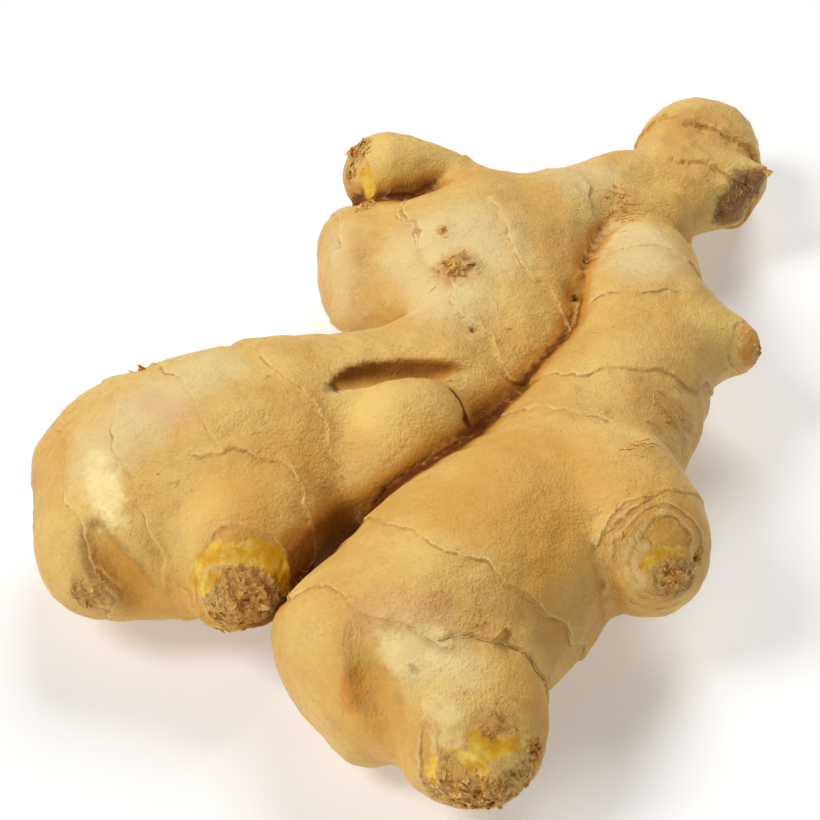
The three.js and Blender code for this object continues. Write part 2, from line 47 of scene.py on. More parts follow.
# The parts of each limb: weld is how far a part blends into what carries it, reach
# how far along that holds, flat its height over its width, and trims the planes
# that cut it off (a point of the plane, the way it faces, rounding).
LIMBS = {
    "block": [
        dict(weld=5, flat=0.95, knuckles=[(20, 37.5, 17, 11), (8.5, 31.5, 16.5, 13.5), (-6.5, 33, 16, 12.5)],
             trims=[((-19.5, 32.5, 16), (-1, -0.25, 0.3), 4)]),
        dict(weld=6, knuckles=[(-6.5, 35.5, 18, 7), (-12, 39.5, 18, 6)]),
        dict(weld=10, flat=0.95, knuckles=[(8.5, 29, 16.5, 14), (10, 12.5, 17, 13.5), (3, 1.5, 17.5, 12.5)]),
        dict(weld=6, knuckles=[(18, 29, 16, 12), (16.5, 13, 16.5, 12), (9, -1, 16.5, 10.5)]),
    ],
    "spine": [
        dict(weld=6, knuckles=[(10.5, 41, 18, 10.5), (21, 44.5, 16.8, 8.3), (33, 54, 15.4, 8.5),
                               (44.5, 59.5, 14, 7.5)]),
        dict(weld=8, knuckles=[(22, 44, 15.5, 9.5), (31, 46, 15.5, 9), (40.5, 47, 14, 8)]),
    ],
    "head": [
        dict(weld=3, knuckles=[(45, 62, 13, 8), (51.5, 74, 10.6, 10.8), (52.5, 68, 11, 10)],
             trims=[((61, 57.5, 14), (0.9, -0.6, -0.2), 1.5)]),
        dict(weld=5, knuckles=[(47, 57, 14, 7.5), (56, 59, 14, 7)],
             trims=[((61, 57.5, 14), (0.9, -0.6, -0.2), 1.5)]),
    ],
    "back_bud": [
        dict(weld=5, knuckles=[(12, 45.5, 21, 5.5), (4, 50.5, 23, 5), (-6, 50.5, 24, 8)]),
    ],
    "left_finger": [
        dict(weld=7, flat=0.9, knuckles=[(1.5, -3.5, 17.5, 13), (-16.5, -9, 17, 17),
                                         (-32.5, -17, 16.9, 19.5), (-44.5, -20, 16.5, 18)]),
        dict(weld=11, reach=3.2, flat=0.9, knuckles=[(-15, -20, 16, 13.5), (-35.5, -29.5, 16, 15.5),
                                                     (-46.5, -32.5, 16, 14)]),
        dict(weld=3, knuckles=[(-51.5, -30, 15, 10.3), (-52, -36.3, 13.3, 7.6)]),
    ],
    "small_lobe": [
        dict(weld=2.5, knuckles=[(-2.4, -17.6, 22.4, 11), (-6.6, -22.8, 21.5, 9.9)]),
    ],
    "left_bud": [
        dict(weld=4, knuckles=[(-28, -33, 20.5, 11.5), (-27.5, -37, 19.5, 12), (-28.5, -43, 17.5, 8.5)]),
    ],
    "right_finger": [
        dict(weld=3, reach=1.2, flat=0.92, knuckles=[
            (39, 34, 15.5, 9.7), (36.3, 20.5, 17, 11.8), (35.2, 4, 17, 13.4), (29, -11.5, 17.3, 14.6),
            (20.3, -28, 17.3, 17), (7.5, -46, 17.3, 19.5), (-4, -58, 17.3, 17.5), (-11.5, -61, 16.5, 14)],
            trims=[((-18, -66, 14), (-1, -0.75, -0.1), 6)]),
        dict(weld=4, knuckles=[(-6, -64, 12, 7.5), (-8.5, -67, 8, 5)]),
    ],
    "front_bud": [
        dict(weld=4, knuckles=[(5.5, -65.5, 17, 12), (6.5, -71, 16, 12.5), (7.5, -76, 14.5, 9)]),
    ],
    "right_bud": [
        dict(weld=3, knuckles=[(30, -31, 23, 11.5), (32.4, -38, 21.5, 12), (35.3, -40.6, 19.2, 9.2)]),
    ],
    "side_bud": [
        dict(weld=6, knuckles=[(41.5, 15, 17, 10), (48, 12.5, 17.5, 7), (52, 11, 17.5, 4.5)]),
    ],
    "side_nub": [
        dict(weld=1.2, knuckles=[(50, 11.7, 17.4, 5), (52.4, 11, 17.6, 4.4)]),
    ],
}
# Folds pressed into the flesh: behind the small lobe, the crack along its right
# side, beside the left finger's eye, and the stained valley beside the front bud.
FURROWS = [
    dict(edge=1.2, path=[(-15.6, -17, 32.6, 0.4), (-13.2, -14.2, 31.6, 1.3), (-9.9, -11.6, 30.8, 2),
                         (-4.6, -9.6, 30, 2.6), (1, -8.6, 29.2, 2.1), (6, -7.6, 29, 1.3),
                         (9.4, -6.3, 29, 0.5)]),
    dict(edge=0.5, path=[(1.4, -12, 31.1, 0.2), (3.8, -12.8, 30, 0.5), (5.8, -15.6, 29, 0.6),
                         (7, -18.4, 27.4, 0.7)]),
    dict(edge=4.5, path=[(-50.4, -41, 24.7, 0.6), (-49.2, -43.4, 22.4, 1.9), (-46.3, -45.4, 19.1, 2.1),
                         (-43.2, -46.8, 14.5, 1)]),
    dict(edge=4, path=[(-9.6, -68, 30.2, 0.6), (-8.2, -71.8, 27.2, 1.6), (-7, -75.2, 23.5, 2),
                       (-5.6, -77.8, 19, 1.6), (-4.5, -79, 14.5, 0.8)]),
]

CREASE = 0.9                    # rounding where two limbs only touch, millimetres
USUAL_REACH = 1.8               # of a weld, in radii of the first knuckle
AXIS_STEPS = 4                  # straight pieces between two knuckles
FAR = 12.0                      # beyond this a part has no say in the skin, millimetres


def smoothstep(value, low, high):
    share = np.clip((value - low) / (high - low), 0.0, 1.0)
    return share * share * (3.0 - 2.0 * share)


def unit(way):
    way = np.asarray(way, float)
    return way / np.linalg.norm(way)


def axis_through(knuckles):
    """A smooth line through the knuckles, radius and all."""
    knots = np.array(knuckles, float)
    knots = np.vstack([2 * knots[0] - knots[1], knots, 2 * knots[-1] - knots[-2]])
    line = []
    for a, b, c, d in zip(knots, knots[1:], knots[2:], knots[3:]):
        for t in np.arange(AXIS_STEPS) / AXIS_STEPS:
            line.append(0.5 * (2 * b + (c - a) * t + (2 * a - 5 * b + 4 * c - d) * t * t
                               + (3 * b - a - 3 * c + d) * t ** 3))
    line.append(knots[-2])
    return np.array(line)


def swept_distance(axis, points, flat=1.0):
    """Distance of each point from a round section swept along the axis."""
    nearest = np.full(len(points), np.inf)
    for start, end in zip(axis, axis[1:]):
        span = end[:3] - start[:3]
        offset = points - start[:3]
        along = np.clip(offset @ span / (span @ span), 0.0, 1.0)
        sideways = offset - along[:, None] * span
        sideways[:, 2] /= flat
        away = np.sqrt(np.einsum("ij,ij->i", sideways, sideways))
        nearest = np.minimum(nearest, away - start[3] - along * (end[3] - start[3]))
    return nearest


def weld(first, second, rounding):
    """Distance from two forms grown together, rounded where they meet."""
    meeting = np.maximum(rounding - np.abs(first - second), 0.0) / rounding
    return np.minimum(first, second) - meeting * meeting * rounding * 0.25


def carve(first, second, rounding):
    """Distance from what two forms share, rounded where they meet."""
    meeting = np.maximum(rounding - np.abs(first - second), 0.0) / rounding
    return np.maximum(first, second) + meeting * meeting * rounding * 0.25


limb_names = list(LIMBS)
lobes = []
for limb, parts in enumerate(LIMBS.values()):
    for part in parts:
        axis = axis_through(part["knuckles"])
        middle = axis[len(axis) // 2, :3]
        ball = np.max(np.linalg.norm(axis[:, :3] - middle, axis=1) + axis[:, 3])
        lobes.append(dict(part, limb=limb, axis=axis, middle=middle, ball=ball,
                          reach=part.get("reach", USUAL_REACH) * axis[0, 3]))
furrows = [(axis_through(furrow["path"]), furrow["edge"]) for furrow in FURROWS]


def lobe_distance(lobe, points):
    """Distance from one part of a limb, exact only near it."""
    outside = np.linalg.norm(points - lobe["middle"], axis=1) - lobe["ball"]
    distance = outside.copy()
    near = outside < FAR
    close = swept_distance(lobe["axis"], points[near], lobe.get("flat", 1.0))
    for at, facing, rounding in lobe.get("trims", []):
        close = carve(close, (points[near] - np.array(at)) @ unit(facing), rounding)
    distance[near] = close
    return distance


def flesh_distance(points):
    """Distance from the smooth body, and from each limb alone."""
    body = None
    own = np.full((len(limb_names), len(points)), np.inf)
    for lobe in lobes:
        distance = lobe_distance(lobe, points)
        own[lobe["limb"]] = np.minimum(own[lobe["limb"]], distance)
        from_root = np.sum((points - lobe["axis"][0, :3]) ** 2, axis=1) / lobe["reach"] ** 2
        softness = CREASE + (lobe["weld"] - CREASE) * np.exp(-from_root * from_root)
        body = distance if body is None else weld(body, distance, softness)
    for axis, edge in furrows:
        body = carve(body, -swept_distance(axis, points), edge)
    return body, own


# Leaf rings: the edge where a dried scale leaf was fixed. Each lies near a plane
# (limb, a point of the skin, the way from older skin to younger, height of its step).
RINGS = {
    "left_first": ("left_finger", (-15.8, -23.7, 28.3), (-0.82, -0.57, 0.03), 0.8),
    "left_second": ("left_finger", (-34.3, -23.4, 32.3), (-0.87, -0.49, -0.06), 0.9),
    "left_third": ("left_finger", (-43.6, -36.3, 25.7), (-0.94, -0.25, -0.24), 0.7),
    "left_last": ("left_finger", (-56.1, -28.1, 26.6), (-0.95, -0.2, -0.24), 0.5),
    "right_first": ("right_finger", (37, 25.5, 20), (-0.05, -0.97, 0.2), 0.7),
    "right_second": ("right_finger", (35.4, 13, 27.8), (0.15, -0.95, -0.25), 0.6),
    "right_third": ("right_finger", (30.6, -9.4, 30.8), (0.05, -0.87, -0.5), 0.7),
    "right_fourth": ("right_finger", (34, -24, 30), (-0.3, -0.85, -0.4), 0.4),
    "right_fifth": ("right_finger", (5.5, -54.2, 32.9), (-0.52, -0.73, -0.44), 0.7),
    "right_last": ("right_finger", (-1.1, -66.3, 30.3), (-0.35, -0.75, -0.55), 0.9),
    "block_back": ("block", (16.9, 27, 27.7), (-0.73, -0.23, -0.64), 0.7),
    "block_middle": ("block", (0.1, 23.8, 28.9), (-0.73, -0.3, -0.6), 0.4),
    "block_front": ("block", (10.7, -5, 29.2), (-0.67, -0.24, -0.7), 0.4),
    "block_end": ("block", (-15, 33, 20), (-1, -0.1, 0.1), 0.6),
    "neck": ("spine", (29.7, 41.4, 24.1), (0.87, 0.47, -0.15), 0.6),
    "head_foot": ("head", (46.6, 57.5, 20.7), (-0.15, -0.98, 0.05), 1.1),
    "head_top": ("head", (50.8, 69, 20.6), (-0.25, -0.96, -0.15), 1.6),
    "back_bud": ("back_bud", (2.5, 39, 28.9), (-0.93, 0.3, 0.1), 0.6),
    "left_bud": ("left_bud", (-24.7, -34.2, 29.4), (-0.03, -0.68, 0.74), 0.6),
    "right_bud": ("right_bud", (32, -43.5, 27), (0.57, -0.81, 0.08), 0.5),
    "front_sheath": ("front_bud", (14, -66, 27), (0.1, -0.95, 0.3), 0.9),
}
# Eyes: the growing tips, cups of scale leaves one in the other round a nub
# (limb, tip, facing, cups, height of their step, reach). Each cup's edge lies so
# far behind the tip, and shows over part of its round: (behind, towards, degrees).
EYES = {
    "left_bud_eye": ("left_bud", (-28.9, -50.8, 20.7), (-0.05, -0.92, 0.38),
                     [(1.1, (0, 0.3, 1), 100), (2.9, (-0.4, 0.3, 1), 115), (1.8, (0, -0.2, -1), 80)],
                     0.8, 30),
    "front_bud_eye": ("front_bud", (8.3, -83.6, 18.2), (0.05, -0.9, 0.43),
                      [(1.2, (-1, 0, -0.4), 60), (2.6, (-1, 0, -0.2), 50)], 0.6, 30),
    "right_bud_eye": ("right_bud", (38.6, -49, 23.6), (0.33, -0.82, 0.48),
                      [(0.9, (-0.5, 0, 1), 120), (2.1, (-1, 0, 0.2), 130), (3.6, (-1, 0, -0.3), 90)],
                      0.55, 30),
    "back_bud_eye": ("back_bud", (-12, 46.8, 27.2), (-0.78, -0.48, 0.4),
                     [(1, (0, 0, 1), 180), (2.4, (0, 0, -1), 100)], 0.7, 30),
    "side_nub_eye": ("side_nub", (56.4, 9.3, 18.6), (0.84, -0.44, 0.3),
                     [(0.8, (0, 0, 1), 180), (2.6, (0, 0, 1), 180)], 0.5, 30),
    "left_finger_eye": ("left_finger", (-50.6, -45.8, 16.4), (-0.1, -0.95, 0.3),
                        [(0.5, (0, 0, 1), 180), (1.4, (0, 0, 1), 180)], 0.5, 6),
}
# Scars, knots and pits where a root, a shoot or another finger was
# (place, radius, height, hollow of its middle).
SCARS = [
    ((6, 17.6, 29.8), 2.8, 1.7, 0.7),           # the larger root stub
    ((7.6, 15.2, 29.8), 1.0, -0.6, 0),          # dents beside it
    ((3.6, 15.6, 30), 0.9, -0.5, 0),            # and on its other side
    ((3.4, 26, 30.8), 2, 0.7, 0.3),             # the smaller root stub
    ((25, 16.1, 23.8), 2.4, -2.2, 0),           # hole between the block and the right finger
    ((3.2, -49.3, 35.1), 1.8, 0.5, 0.4),        # knot on the right finger
    ((32.1, -29.2, 32.8), 2, -1.1, 0),          # dent behind the right bud
    ((34.5, -29, 32.2), 1.8, 0.7, 0),           # knot beside it
    ((20.6, -33.2, 34.2), 1.5, 0.5, 0.5),       # knot on the right finger
    ((-4.2, -59.7, 33.6), 2.2, 0.6, 0.5),       # knot at the right finger's end
    ((56.8, 54.2, 16.7), 4.5, -0.7, 0),         # the broken face of the head
    ((61.3, 58.6, 18.6), 1.2, 1.2, 0),          # its rim, drawn out to a spike
    ((-26.8, -51, 19.8), 1.3, -1.1, 0),         # middle of the left bud's eye
    ((43.1, -45.6, 24.2), 1.2, -1.2, 0),        # hole beside the right bud's eye
    ((8.5, 2.3, 29.4), 0.6, -0.8, 0),           # pinhole in the block
    ((54.2, 51.6, 13.6), 1.2, -0.8, 0),         # pit in the head's broken face
]
# The unevenness of growth and drying, each kind a bundle of waves
# (length in millimetres, how many, the turn of the bundle).
WAVES = {
    "swelling": (17, 9, 0.3),
    "pucker": (5.5, 13, 4.1),
    "fine_pucker": (2.6, 17, 2.3),
    "head_lump": (3.6, 15, 6.3),
    "crumb": (1.7, 19, 0.7),
    "husk_fold": (3.2, 15, 5.1),
    "husk_bit": (0.9, 19, 3.3),
    "scar_bend": (4, 6, 2.2),
    "ring_bend": (11, 6, 1.9),
    "ring_jag": (3.1, 9, 2.7),
}
GOLDEN_ANGLE = math.pi * (3 - math.sqrt(5))


def waves(points, kind):
    """Even, repeatable unevenness: waves in directions spread over a sphere."""
    length, count, turn = WAVES[kind]
    total = np.zeros(len(points))
    for i in range(count):
        up = 1 - (2 * (i + 0.5)) / count
        level = math.sqrt(1 - up * up)
        angle = GOLDEN_ANGLE * (i + turn)
        rate = 2 * math.pi / (length * (0.75 + 0.5 * ((i * 0.618) % 1)))
        way = np.array([level * math.cos(angle), level * math.sin(angle), up])
        total += np.sin(rate * (points @ way) + 1.7 * i + turn)
    return total / math.sqrt(count)


def on_limb(own, limb):
    """1 on a limb, 0 on the others, given the distance from each."""
    return 1.0 - smoothstep(own[limb_names.index(limb)] - own.min(axis=0), 0.3, 2.4)


RING_BEND, RING_JAG = 0.9, 0.22  # how far a ring wanders from its plane, millimetres
CUP_BACK = 6.0                  # a cup's edge has no say further behind it, millimetres
RING_EDGE = 0.22                # half the width of the step at a ring, millimetres
LIP_LENGTH = 3.0                # how far the older skin rises towards the step
DIP_LENGTH = 5.0                # how far the younger skin takes to rise again


def ring_section(ahead, step):
    """Older skin stands up as a lip, younger skin dips behind it."""
    lip = 0.3 * step * np.exp(np.minimum(ahead, 0.0) / LIP_LENGTH)
    dip = -0.3 * step * np.exp(-np.maximum(ahead, 0.0) / DIP_LENGTH)
    return lip + (dip - lip) * smoothstep(ahead, -RING_EDGE, RING_EDGE)


def ring_fields(points, own):
    """For each ring and cup: how far a point lies ahead of its edge, its say there, and its step."""
    wander = RING_BEND * waves(points, "ring_bend") + RING_JAG * waves(points, "ring_jag")
    fields = []
    for limb, through, facing, step in RINGS.values():
        ahead = (points - np.array(through)) @ unit(facing)
        fields.append((ahead + wander, on_limb(own, limb), step))
    for limb, tip, facing, cups, step, reach in EYES.values():
        facing = unit(facing)
        for behind, towards, spread in cups:
            offset = points - (np.array(tip) - behind * facing)
            ahead = offset @ facing
            sideways = offset - ahead[:, None] * facing
            towards = unit(np.array(towards) - (np.array(towards) @ facing) * facing)
            turned = sideways @ towards / np.maximum(np.linalg.norm(sideways, axis=1), 1e-6)
            limit = math.cos(math.radians(spread))
            count = on_limb(own, limb) * smoothstep(turned, limit - 0.35, limit + 0.05)
            count = count * (1.0 - smoothstep(np.linalg.norm(offset, axis=1), 0.6 * reach, reach))
            fields.append((ahead + 0.5 * wander, count * (ahead > -CUP_BACK), 0.6 * step))
    return fields


# Heights of the relief, millimetres.
SWELLING = 0.33                 # broad, uneven growth
PUCKERS = 0.10                  # from drying, a few millimetres apart
FINE_PUCKERS = 0.05
HEAD_LUMPS = 0.13               # the head, being old, is the most shrunk
LIP_CRUMBS = 0.08               # on a ring's lip, as a share of its step
HUSK_FOLDS, HUSK_CRUMBS, HUSK_BITS, HUSK_DEPTH = 0.3, 0.2, 0.08, 0.2
SKIN_THICK = 0.18               # what is gone where the flesh shows
SCAR_RIDGES, SCAR_CRUMBS, SCAR_DEPTH = 0.35, 0.25, 0.5
SCAR_WAY = (0.55, 0.83, 0.1)    # across the ridges of the scar
SCAR_RATE = 2.6                 # their turn, radians to a millimetre
SCABS = 0.22


def relief(points, own, marks):
    """Height of the skin over the smooth flesh."""
    height = SWELLING * waves(points, "swelling")
    crumbs = 1.0 - np.abs(waves(points, "crumb"))
    for ahead, count, step in ring_fields(points, own):
        height += count * ring_section(ahead, step)
        height += count * LIP_CRUMBS * step * crumbs * np.exp(-((ahead + 0.5) / 0.6) ** 2)
    for at, radius, rise, hollow in SCARS:
        away = np.sum((points - np.array(at)) ** 2, axis=1) / radius ** 2
        height += rise * (np.exp(-away) - hollow * np.exp(-5 * away))
    height += PUCKERS * waves(points, "pucker")
    height += FINE_PUCKERS * waves(points, "fine_pucker")
    height += HEAD_LUMPS * on_limb(own, "head") * waves(points, "head_lump")
    husk = 1.0 - smoothstep(marks["husk"], -1.0, 0.5)
    folds = 1.0 - np.abs(waves(points, "husk_fold"))
    bits = waves(points, "husk_bit")
    height += husk * (HUSK_CRUMBS * crumbs + HUSK_FOLDS * folds - HUSK_DEPTH + HUSK_BITS * bits)
    peeled = 1.0 - smoothstep(marks["flesh"], -0.6, 0.4)
    height -= peeled * SKIN_THICK
    scar = 1.0 - smoothstep(marks["scar"], -0.8, 0.4)
    ridges = np.sin(SCAR_RATE * (points @ unit(SCAR_WAY)) + 0.8 * waves(points, "scar_bend"))
    height += scar * (SCAR_RIDGES * np.abs(ridges) + SCAR_CRUMBS * crumbs - SCAR_DEPTH)
    rough = 1.0 - smoothstep(marks["rough"], -1.5, 0.5)
    height += rough * SCABS * crumbs
    between_limbs = np.sort(own, axis=0)[1]
    return height * smoothstep(between_limbs, -0.5, 1.6)


# Marks on the skin, each a chain of (x, y, z, radius) in millimetres: flesh, where
# the yellow inside shows; husk, the brown fibrous remains on a tip; scar, where a
# finger was broken off; rough, corky scabs; pale, skin worn thin and painted
# highlight on the tops; young, the light gold of new growth and painted highlight
# on the buds' lit sides; golden, its deeper gold and painted shade on low and
# shaded sides; peel, pale waxy skin with a painted highlight; blush, pink skin;
# dull, a bruise; pit, a hole darkened with painted shade; stain, where juice has dried.
MARKS = {
    "flesh": [
        [(-35.2, -48.2, 19.4, 0.5), (-35.2, -46.9, 22.2, 0.9), (-33.4, -46.5, 24.8, 1.4),
         (-31, -46.7, 26.2, 1.8), (-28, -47, 26.6, 1.9), (-24.8, -46.9, 26.1, 2.2),
         (-22.6, -47, 24.2, 1.8), (-21.2, -47.6, 21.4, 1.1), (-21.2, -48.4, 18.8, 0.5)],
        [(-33.9, -49, 20.2, 0.9), (-33.2, -48.8, 21.7, 1.2), (-32, -48.8, 22.9, 0.8)],
        [(7.4, -81.3, 23.3, 0.9), (9, -82, 21.9, 2.1), (10.8, -81.9, 21.3, 1.5),
         (12.6, -81, 21.2, 1.1), (14.3, -80.1, 20.9, 1.3), (15.6, -79.4, 20.1, 0.7)],
        [(5.2, -82.8, 20.9, 0.9), (6.7, -83.4, 20, 1.5), (8.2, -83.9, 18.8, 1.2)],
        [(1.4, -82.2, 19.5, 0.5), (0.8, -82.4, 17.4, 0.9), (1.7, -83, 15.9, 0.8)],
        [(33.4, -49.2, 25.8, 0.8), (34.4, -48.7, 26.9, 1.1), (36.2, -48, 27.5, 1.2),
         (37.6, -47.6, 27.3, 0.7)],
        [(39, -47.1, 27, 0.8), (40.6, -46.5, 26.6, 0.7)],
        [(-9.9, 45.6, 29.2, 1.1), (-9.6, 44.4, 27.4, 1.6), (-9.4, 43.4, 25.6, 1.3)],
        [(-20.5, 32, 18, 1.6)],
    ],
    "husk": [
        [(-27.3, -50.4, 21.5, 4.6), (-25.6, -50, 20, 4.4), (-29.3, -50.4, 19.5, 4.6)],
        [(-51.9, -45.2, 15.4, 3.0)],
        [(2.6, -83, 14, 2.6), (7.5, -84.6, 13.6, 4.0), (13.4, -82.8, 15, 3.2), (16, -79.2, 17.8, 1.8)],
        [(3.6, -82.6, 19.5, 1.2)],
        [(37.8, -49.6, 23.4, 3.3), (39.6, -48.4, 22.4, 3.0)],
        [(43.1, -45.6, 24.2, 1.2)],
        [(-10.4, 50.9, 30.3, 2.0), (-13, 48, 26, 2)],
        [(-9.8, 38.8, 26.2, 1.8)],
        [(56.6, 9.2, 18.6, 1.6)],
        [(6, 17.4, 30.4, 2.5)],
        [(3.4, 25.6, 31.2, 0.8)],
    ],
    "scar": [
        [(58.8, 56.2, 18.2, 2.8), (57.4, 54, 16, 4.2), (56, 52.2, 14.2, 3.6)],
    ],
    "rough": [
        [(31.3, 42.8, 23.3, 1.6), (35, 43.9, 21.7, 1.8), (38.6, 44.3, 21, 1.4)],
        [(-1.6, -28.4, 25, 3), (-5.4, -31, 24, 3)],
        [(8.2, -79.2, 25.4, 1.6), (10.6, -79.4, 24.4, 1.8), (13, -79.2, 23.2, 1.2)],
        [(6, 17.4, 30.4, 4.5)],
        [(-11.5, 30.5, 26.5, 1.2), (-10.4, 24.5, 25.5, 1.4)],
        [(36, -12, 29, 3), (41.5, -15, 24, 3)],
        [(-60, -24, 18, 4), (-60, -30, 14, 4)],
        [(48, 58, 21, 6), (52, 66, 19, 8)],
    ],
    # pale: worn skin and painted highlight on the tops
    "pale": [
        [(8, 24, 29, 9), (0, 22, 29, 8), (4, 10, 29.5, 7)],
        [(-34, -12, 33, 5), (-44, -22, 33, 6), (-50, -30, 28, 5)],
        [(37, 21, 27, 6), (37.4, 29, 26, 7), (34, 36, 25, 4)],
        [(27, 46, 24, 4), (32, 50.5, 24.5, 3)],
        [(-14, 30, 24, 4), (-14, 22, 19, 4)],
        [(0, -70, 29, 4), (5, -72, 29, 3)],
    ],
    # young: new growth and painted highlight on the buds' lit sides
    "young": [
        [(-9, -19, 31, 4.5), (-5, -24, 30, 3)],
        [(28, -43, 30.5, 3.5), (27, -45.5, 28, 3.5), (28, -49, 23.5, 3)],
        [(-34.5, -42, 26, 3.5), (-31, -40, 30, 3)],
        [(-6, 47.5, 31.5, 4), (-10, 45, 28, 3)],
        [(47, 9, 24, 4.5), (51, 8.6, 22, 3.5)],
        [(-9, -74, 21, 4)],
        [(13, -78, 23, 3)],
    ],
    # golden: a deeper gold and painted shade on low and shaded sides
    "golden": [
        [(9, -45, 36, 9), (20, -34, 35, 8), (18, -52, 32, 6)],
        [(-26, -38, 31, 5), (-27, -46, 26, 4), (-21, -42, 24, 4)],
        [(-40, -48, 14, 8), (-30, -50, 10, 5)],
        [(-10.8, -72, 23, 6), (-6, -78, 15, 4)],
        [(16, -74, 22, 5)],
        [(20.5, -60, 21, 4)],
        [(31, -42, 29, 5), (38, -42, 29, 5)],
        [(-0.5, -22.5, 28, 4), (-2, -28, 26, 4)],
        [(-22, -30, 30, 6)],
    ],
    # peel: waxy skin, with a painted highlight on it
    "peel": [
        [(-50.4, -29.7, 28.9, 1.8), (-49.1, -35, 28, 2.9), (-47.3, -39.6, 26.7, 1.8)],
        [(-54.4, -33, 24.5, 1.2), (-53, -39, 22, 1.2)],
        [(-3.5, -69.6, 29.1, 3), (0.9, -68.4, 30, 2)],
        [(1.4, -78.2, 25.3, 1.6), (3.6, -79, 25.1, 1.8)],
        [(1, -81, 22.4, 1.2), (4.4, -81.2, 22.8, 1.3)],
        [(33, -50.5, 23.4, 1), (32.2, -49.4, 25.6, 1), (33.6, -47.8, 28, 1.2)],
    ],
    "blush": [
        [(-42.9, -19.6, 33.2, 2.5), (-38, -23.2, 33.2, 3)],
        [(-8, -64, 31, 3), (2.4, -64.3, 32, 3)],
    ],
    "dull": [
        [(-2.2, -71.4, 27.9, 0.5), (-1.2, -72.3, 27.5, 0.6)],
    ],
    # pit: holes darkened with painted shade
    "pit": [
        [(-26.8, -51, 19.8, 0.7)],
        [(43.1, -45.6, 24.2, 0.8)],
        [(25, 16.1, 22.8, 1.6)],
        [(8.5, 2.3, 29.2, 0.35)],
        [(54.2, 51.6, 13.6, 0.7)],
        [(1.4, -12, 30.9, 0.1), (3.8, -12.8, 29.7, 0.15), (5.8, -15.6, 28.6, 0.25),
         (7, -18.4, 27, 0.4)],
        [(7.4, 15, 29.4, 0.3), (7.9, 13.6, 29.4, 0.2)],
        [(58.6, 55.2, 19, 0.5)],
    ],
    "stain": [
        [(55.8, 8.9, 19.4, 3.4)],
        [(-10.5, -70.9, 25, 1.4), (-10.8, -72.2, 23.3, 2.2), (-10.9, -73.2, 21.2, 1.6)],
    ],
}


NO_MARK = 20.0                  # the distance given where no mark is near, millimetres


def marks_at(points):
    """Distance of each point from the marks of each kind, negative inside."""
    found = {}
    for kind, chains in MARKS.items():
        nearest = np.full(len(points), NO_MARK)
        for chain in chains:
            knots = np.array(chain, float)
            if len(knots) == 1:
                distance = np.linalg.norm(points - knots[0, :3], axis=1) - knots[0, 3]
            else:
                distance = swept_distance(axis_through(chain), points)
            nearest = np.minimum(nearest, distance)
        found[kind] = nearest
    return found


def vertex_normals(points, faces):
    """The mean way out of the faces round each vertex."""
    corners = points[faces]
    flat = np.cross(corners[:, 1] - corners[:, 0], corners[:, 2] - corners[:, 0])
    normals = np.zeros_like(points)
    for k in range(3):
        for axis in range(3):
            normals[:, axis] += np.bincount(faces[:, k], flat[:, axis], len(points))
    return normals / np.maximum(np.linalg.norm(normals, axis=1, keepdims=True), 1e-9)


PROBE = 0.05                    # step at which the flesh's slope is felt, millimetres
LONGEST_MOVE = 0.6              # of a vertex in one round, millimetres


def settle(points, faces, rounds):
    """Moves each vertex onto the smooth flesh along its normal."""
    for _ in range(rounds):
        normals = vertex_normals(points, faces)
        distance = flesh_distance(points)[0]
        slope = (flesh_distance(points + PROBE * normals)[0] - distance) / PROBE
        move = np.clip(distance / np.maximum(slope, 0.5), -LONGEST_MOVE, LONGEST_MOVE)
        points = points - move[:, None] * normals
    return points


def split_edges(points, faces, wanted):
    """Halves the wanted edges, and splits the triangles on them to match."""
    edges = np.sort(np.vstack([faces[:, [0, 1]], faces[:, [1, 2]], faces[:, [2, 0]]]), axis=1)
    edges, where = np.unique(edges, axis=0, return_inverse=True)
    where = where.reshape(3, -1).T
    cut = wanted(points, edges)
    middle_of = np.full(len(edges), -1)
    middle_of[cut] = len(points) + np.arange(cut.sum())
    new_points = np.vstack([points, points[edges[cut]].mean(axis=1)])
    middles = middle_of[where]
    count = (middles >= 0).sum(axis=1)
    parts = [faces[count == 0]]
    for a in range(3):
        b, c = (a + 1) % 3, (a + 2) % 3
        one = (count == 1) & (middles[:, a] >= 0)
        corner, half = faces[one], middles[one]
        parts.append(np.column_stack([corner[:, a], half[:, a], corner[:, c]]))
        parts.append(np.column_stack([half[:, a], corner[:, b], corner[:, c]]))
        two = (count == 2) & (middles[:, a] < 0)
        corner, half = faces[two], middles[two]
        parts.append(np.column_stack([corner[:, a], corner[:, b], half[:, b]]))
        parts.append(np.column_stack([corner[:, a], half[:, b], half[:, c]]))
        parts.append(np.column_stack([half[:, b], corner[:, c], half[:, c]]))
    corner, half = faces[count == 3], middles[count == 3]
    parts.append(np.column_stack([corner[:, 0], half[:, 0], half[:, 2]]))
    parts.append(np.column_stack([half[:, 0], corner[:, 1], half[:, 1]]))
    parts.append(np.column_stack([half[:, 2], half[:, 1], corner[:, 2]]))
    parts.append(half)
    return new_points, np.vstack(parts)


# The carried-over solid is the form to grow the fine skin from: it is divided
# evenly, settled on the flesh, and halved twice where the skin has fine detail.
SKIN_CELL = 1.12                # spacing of the skin's points, millimetres

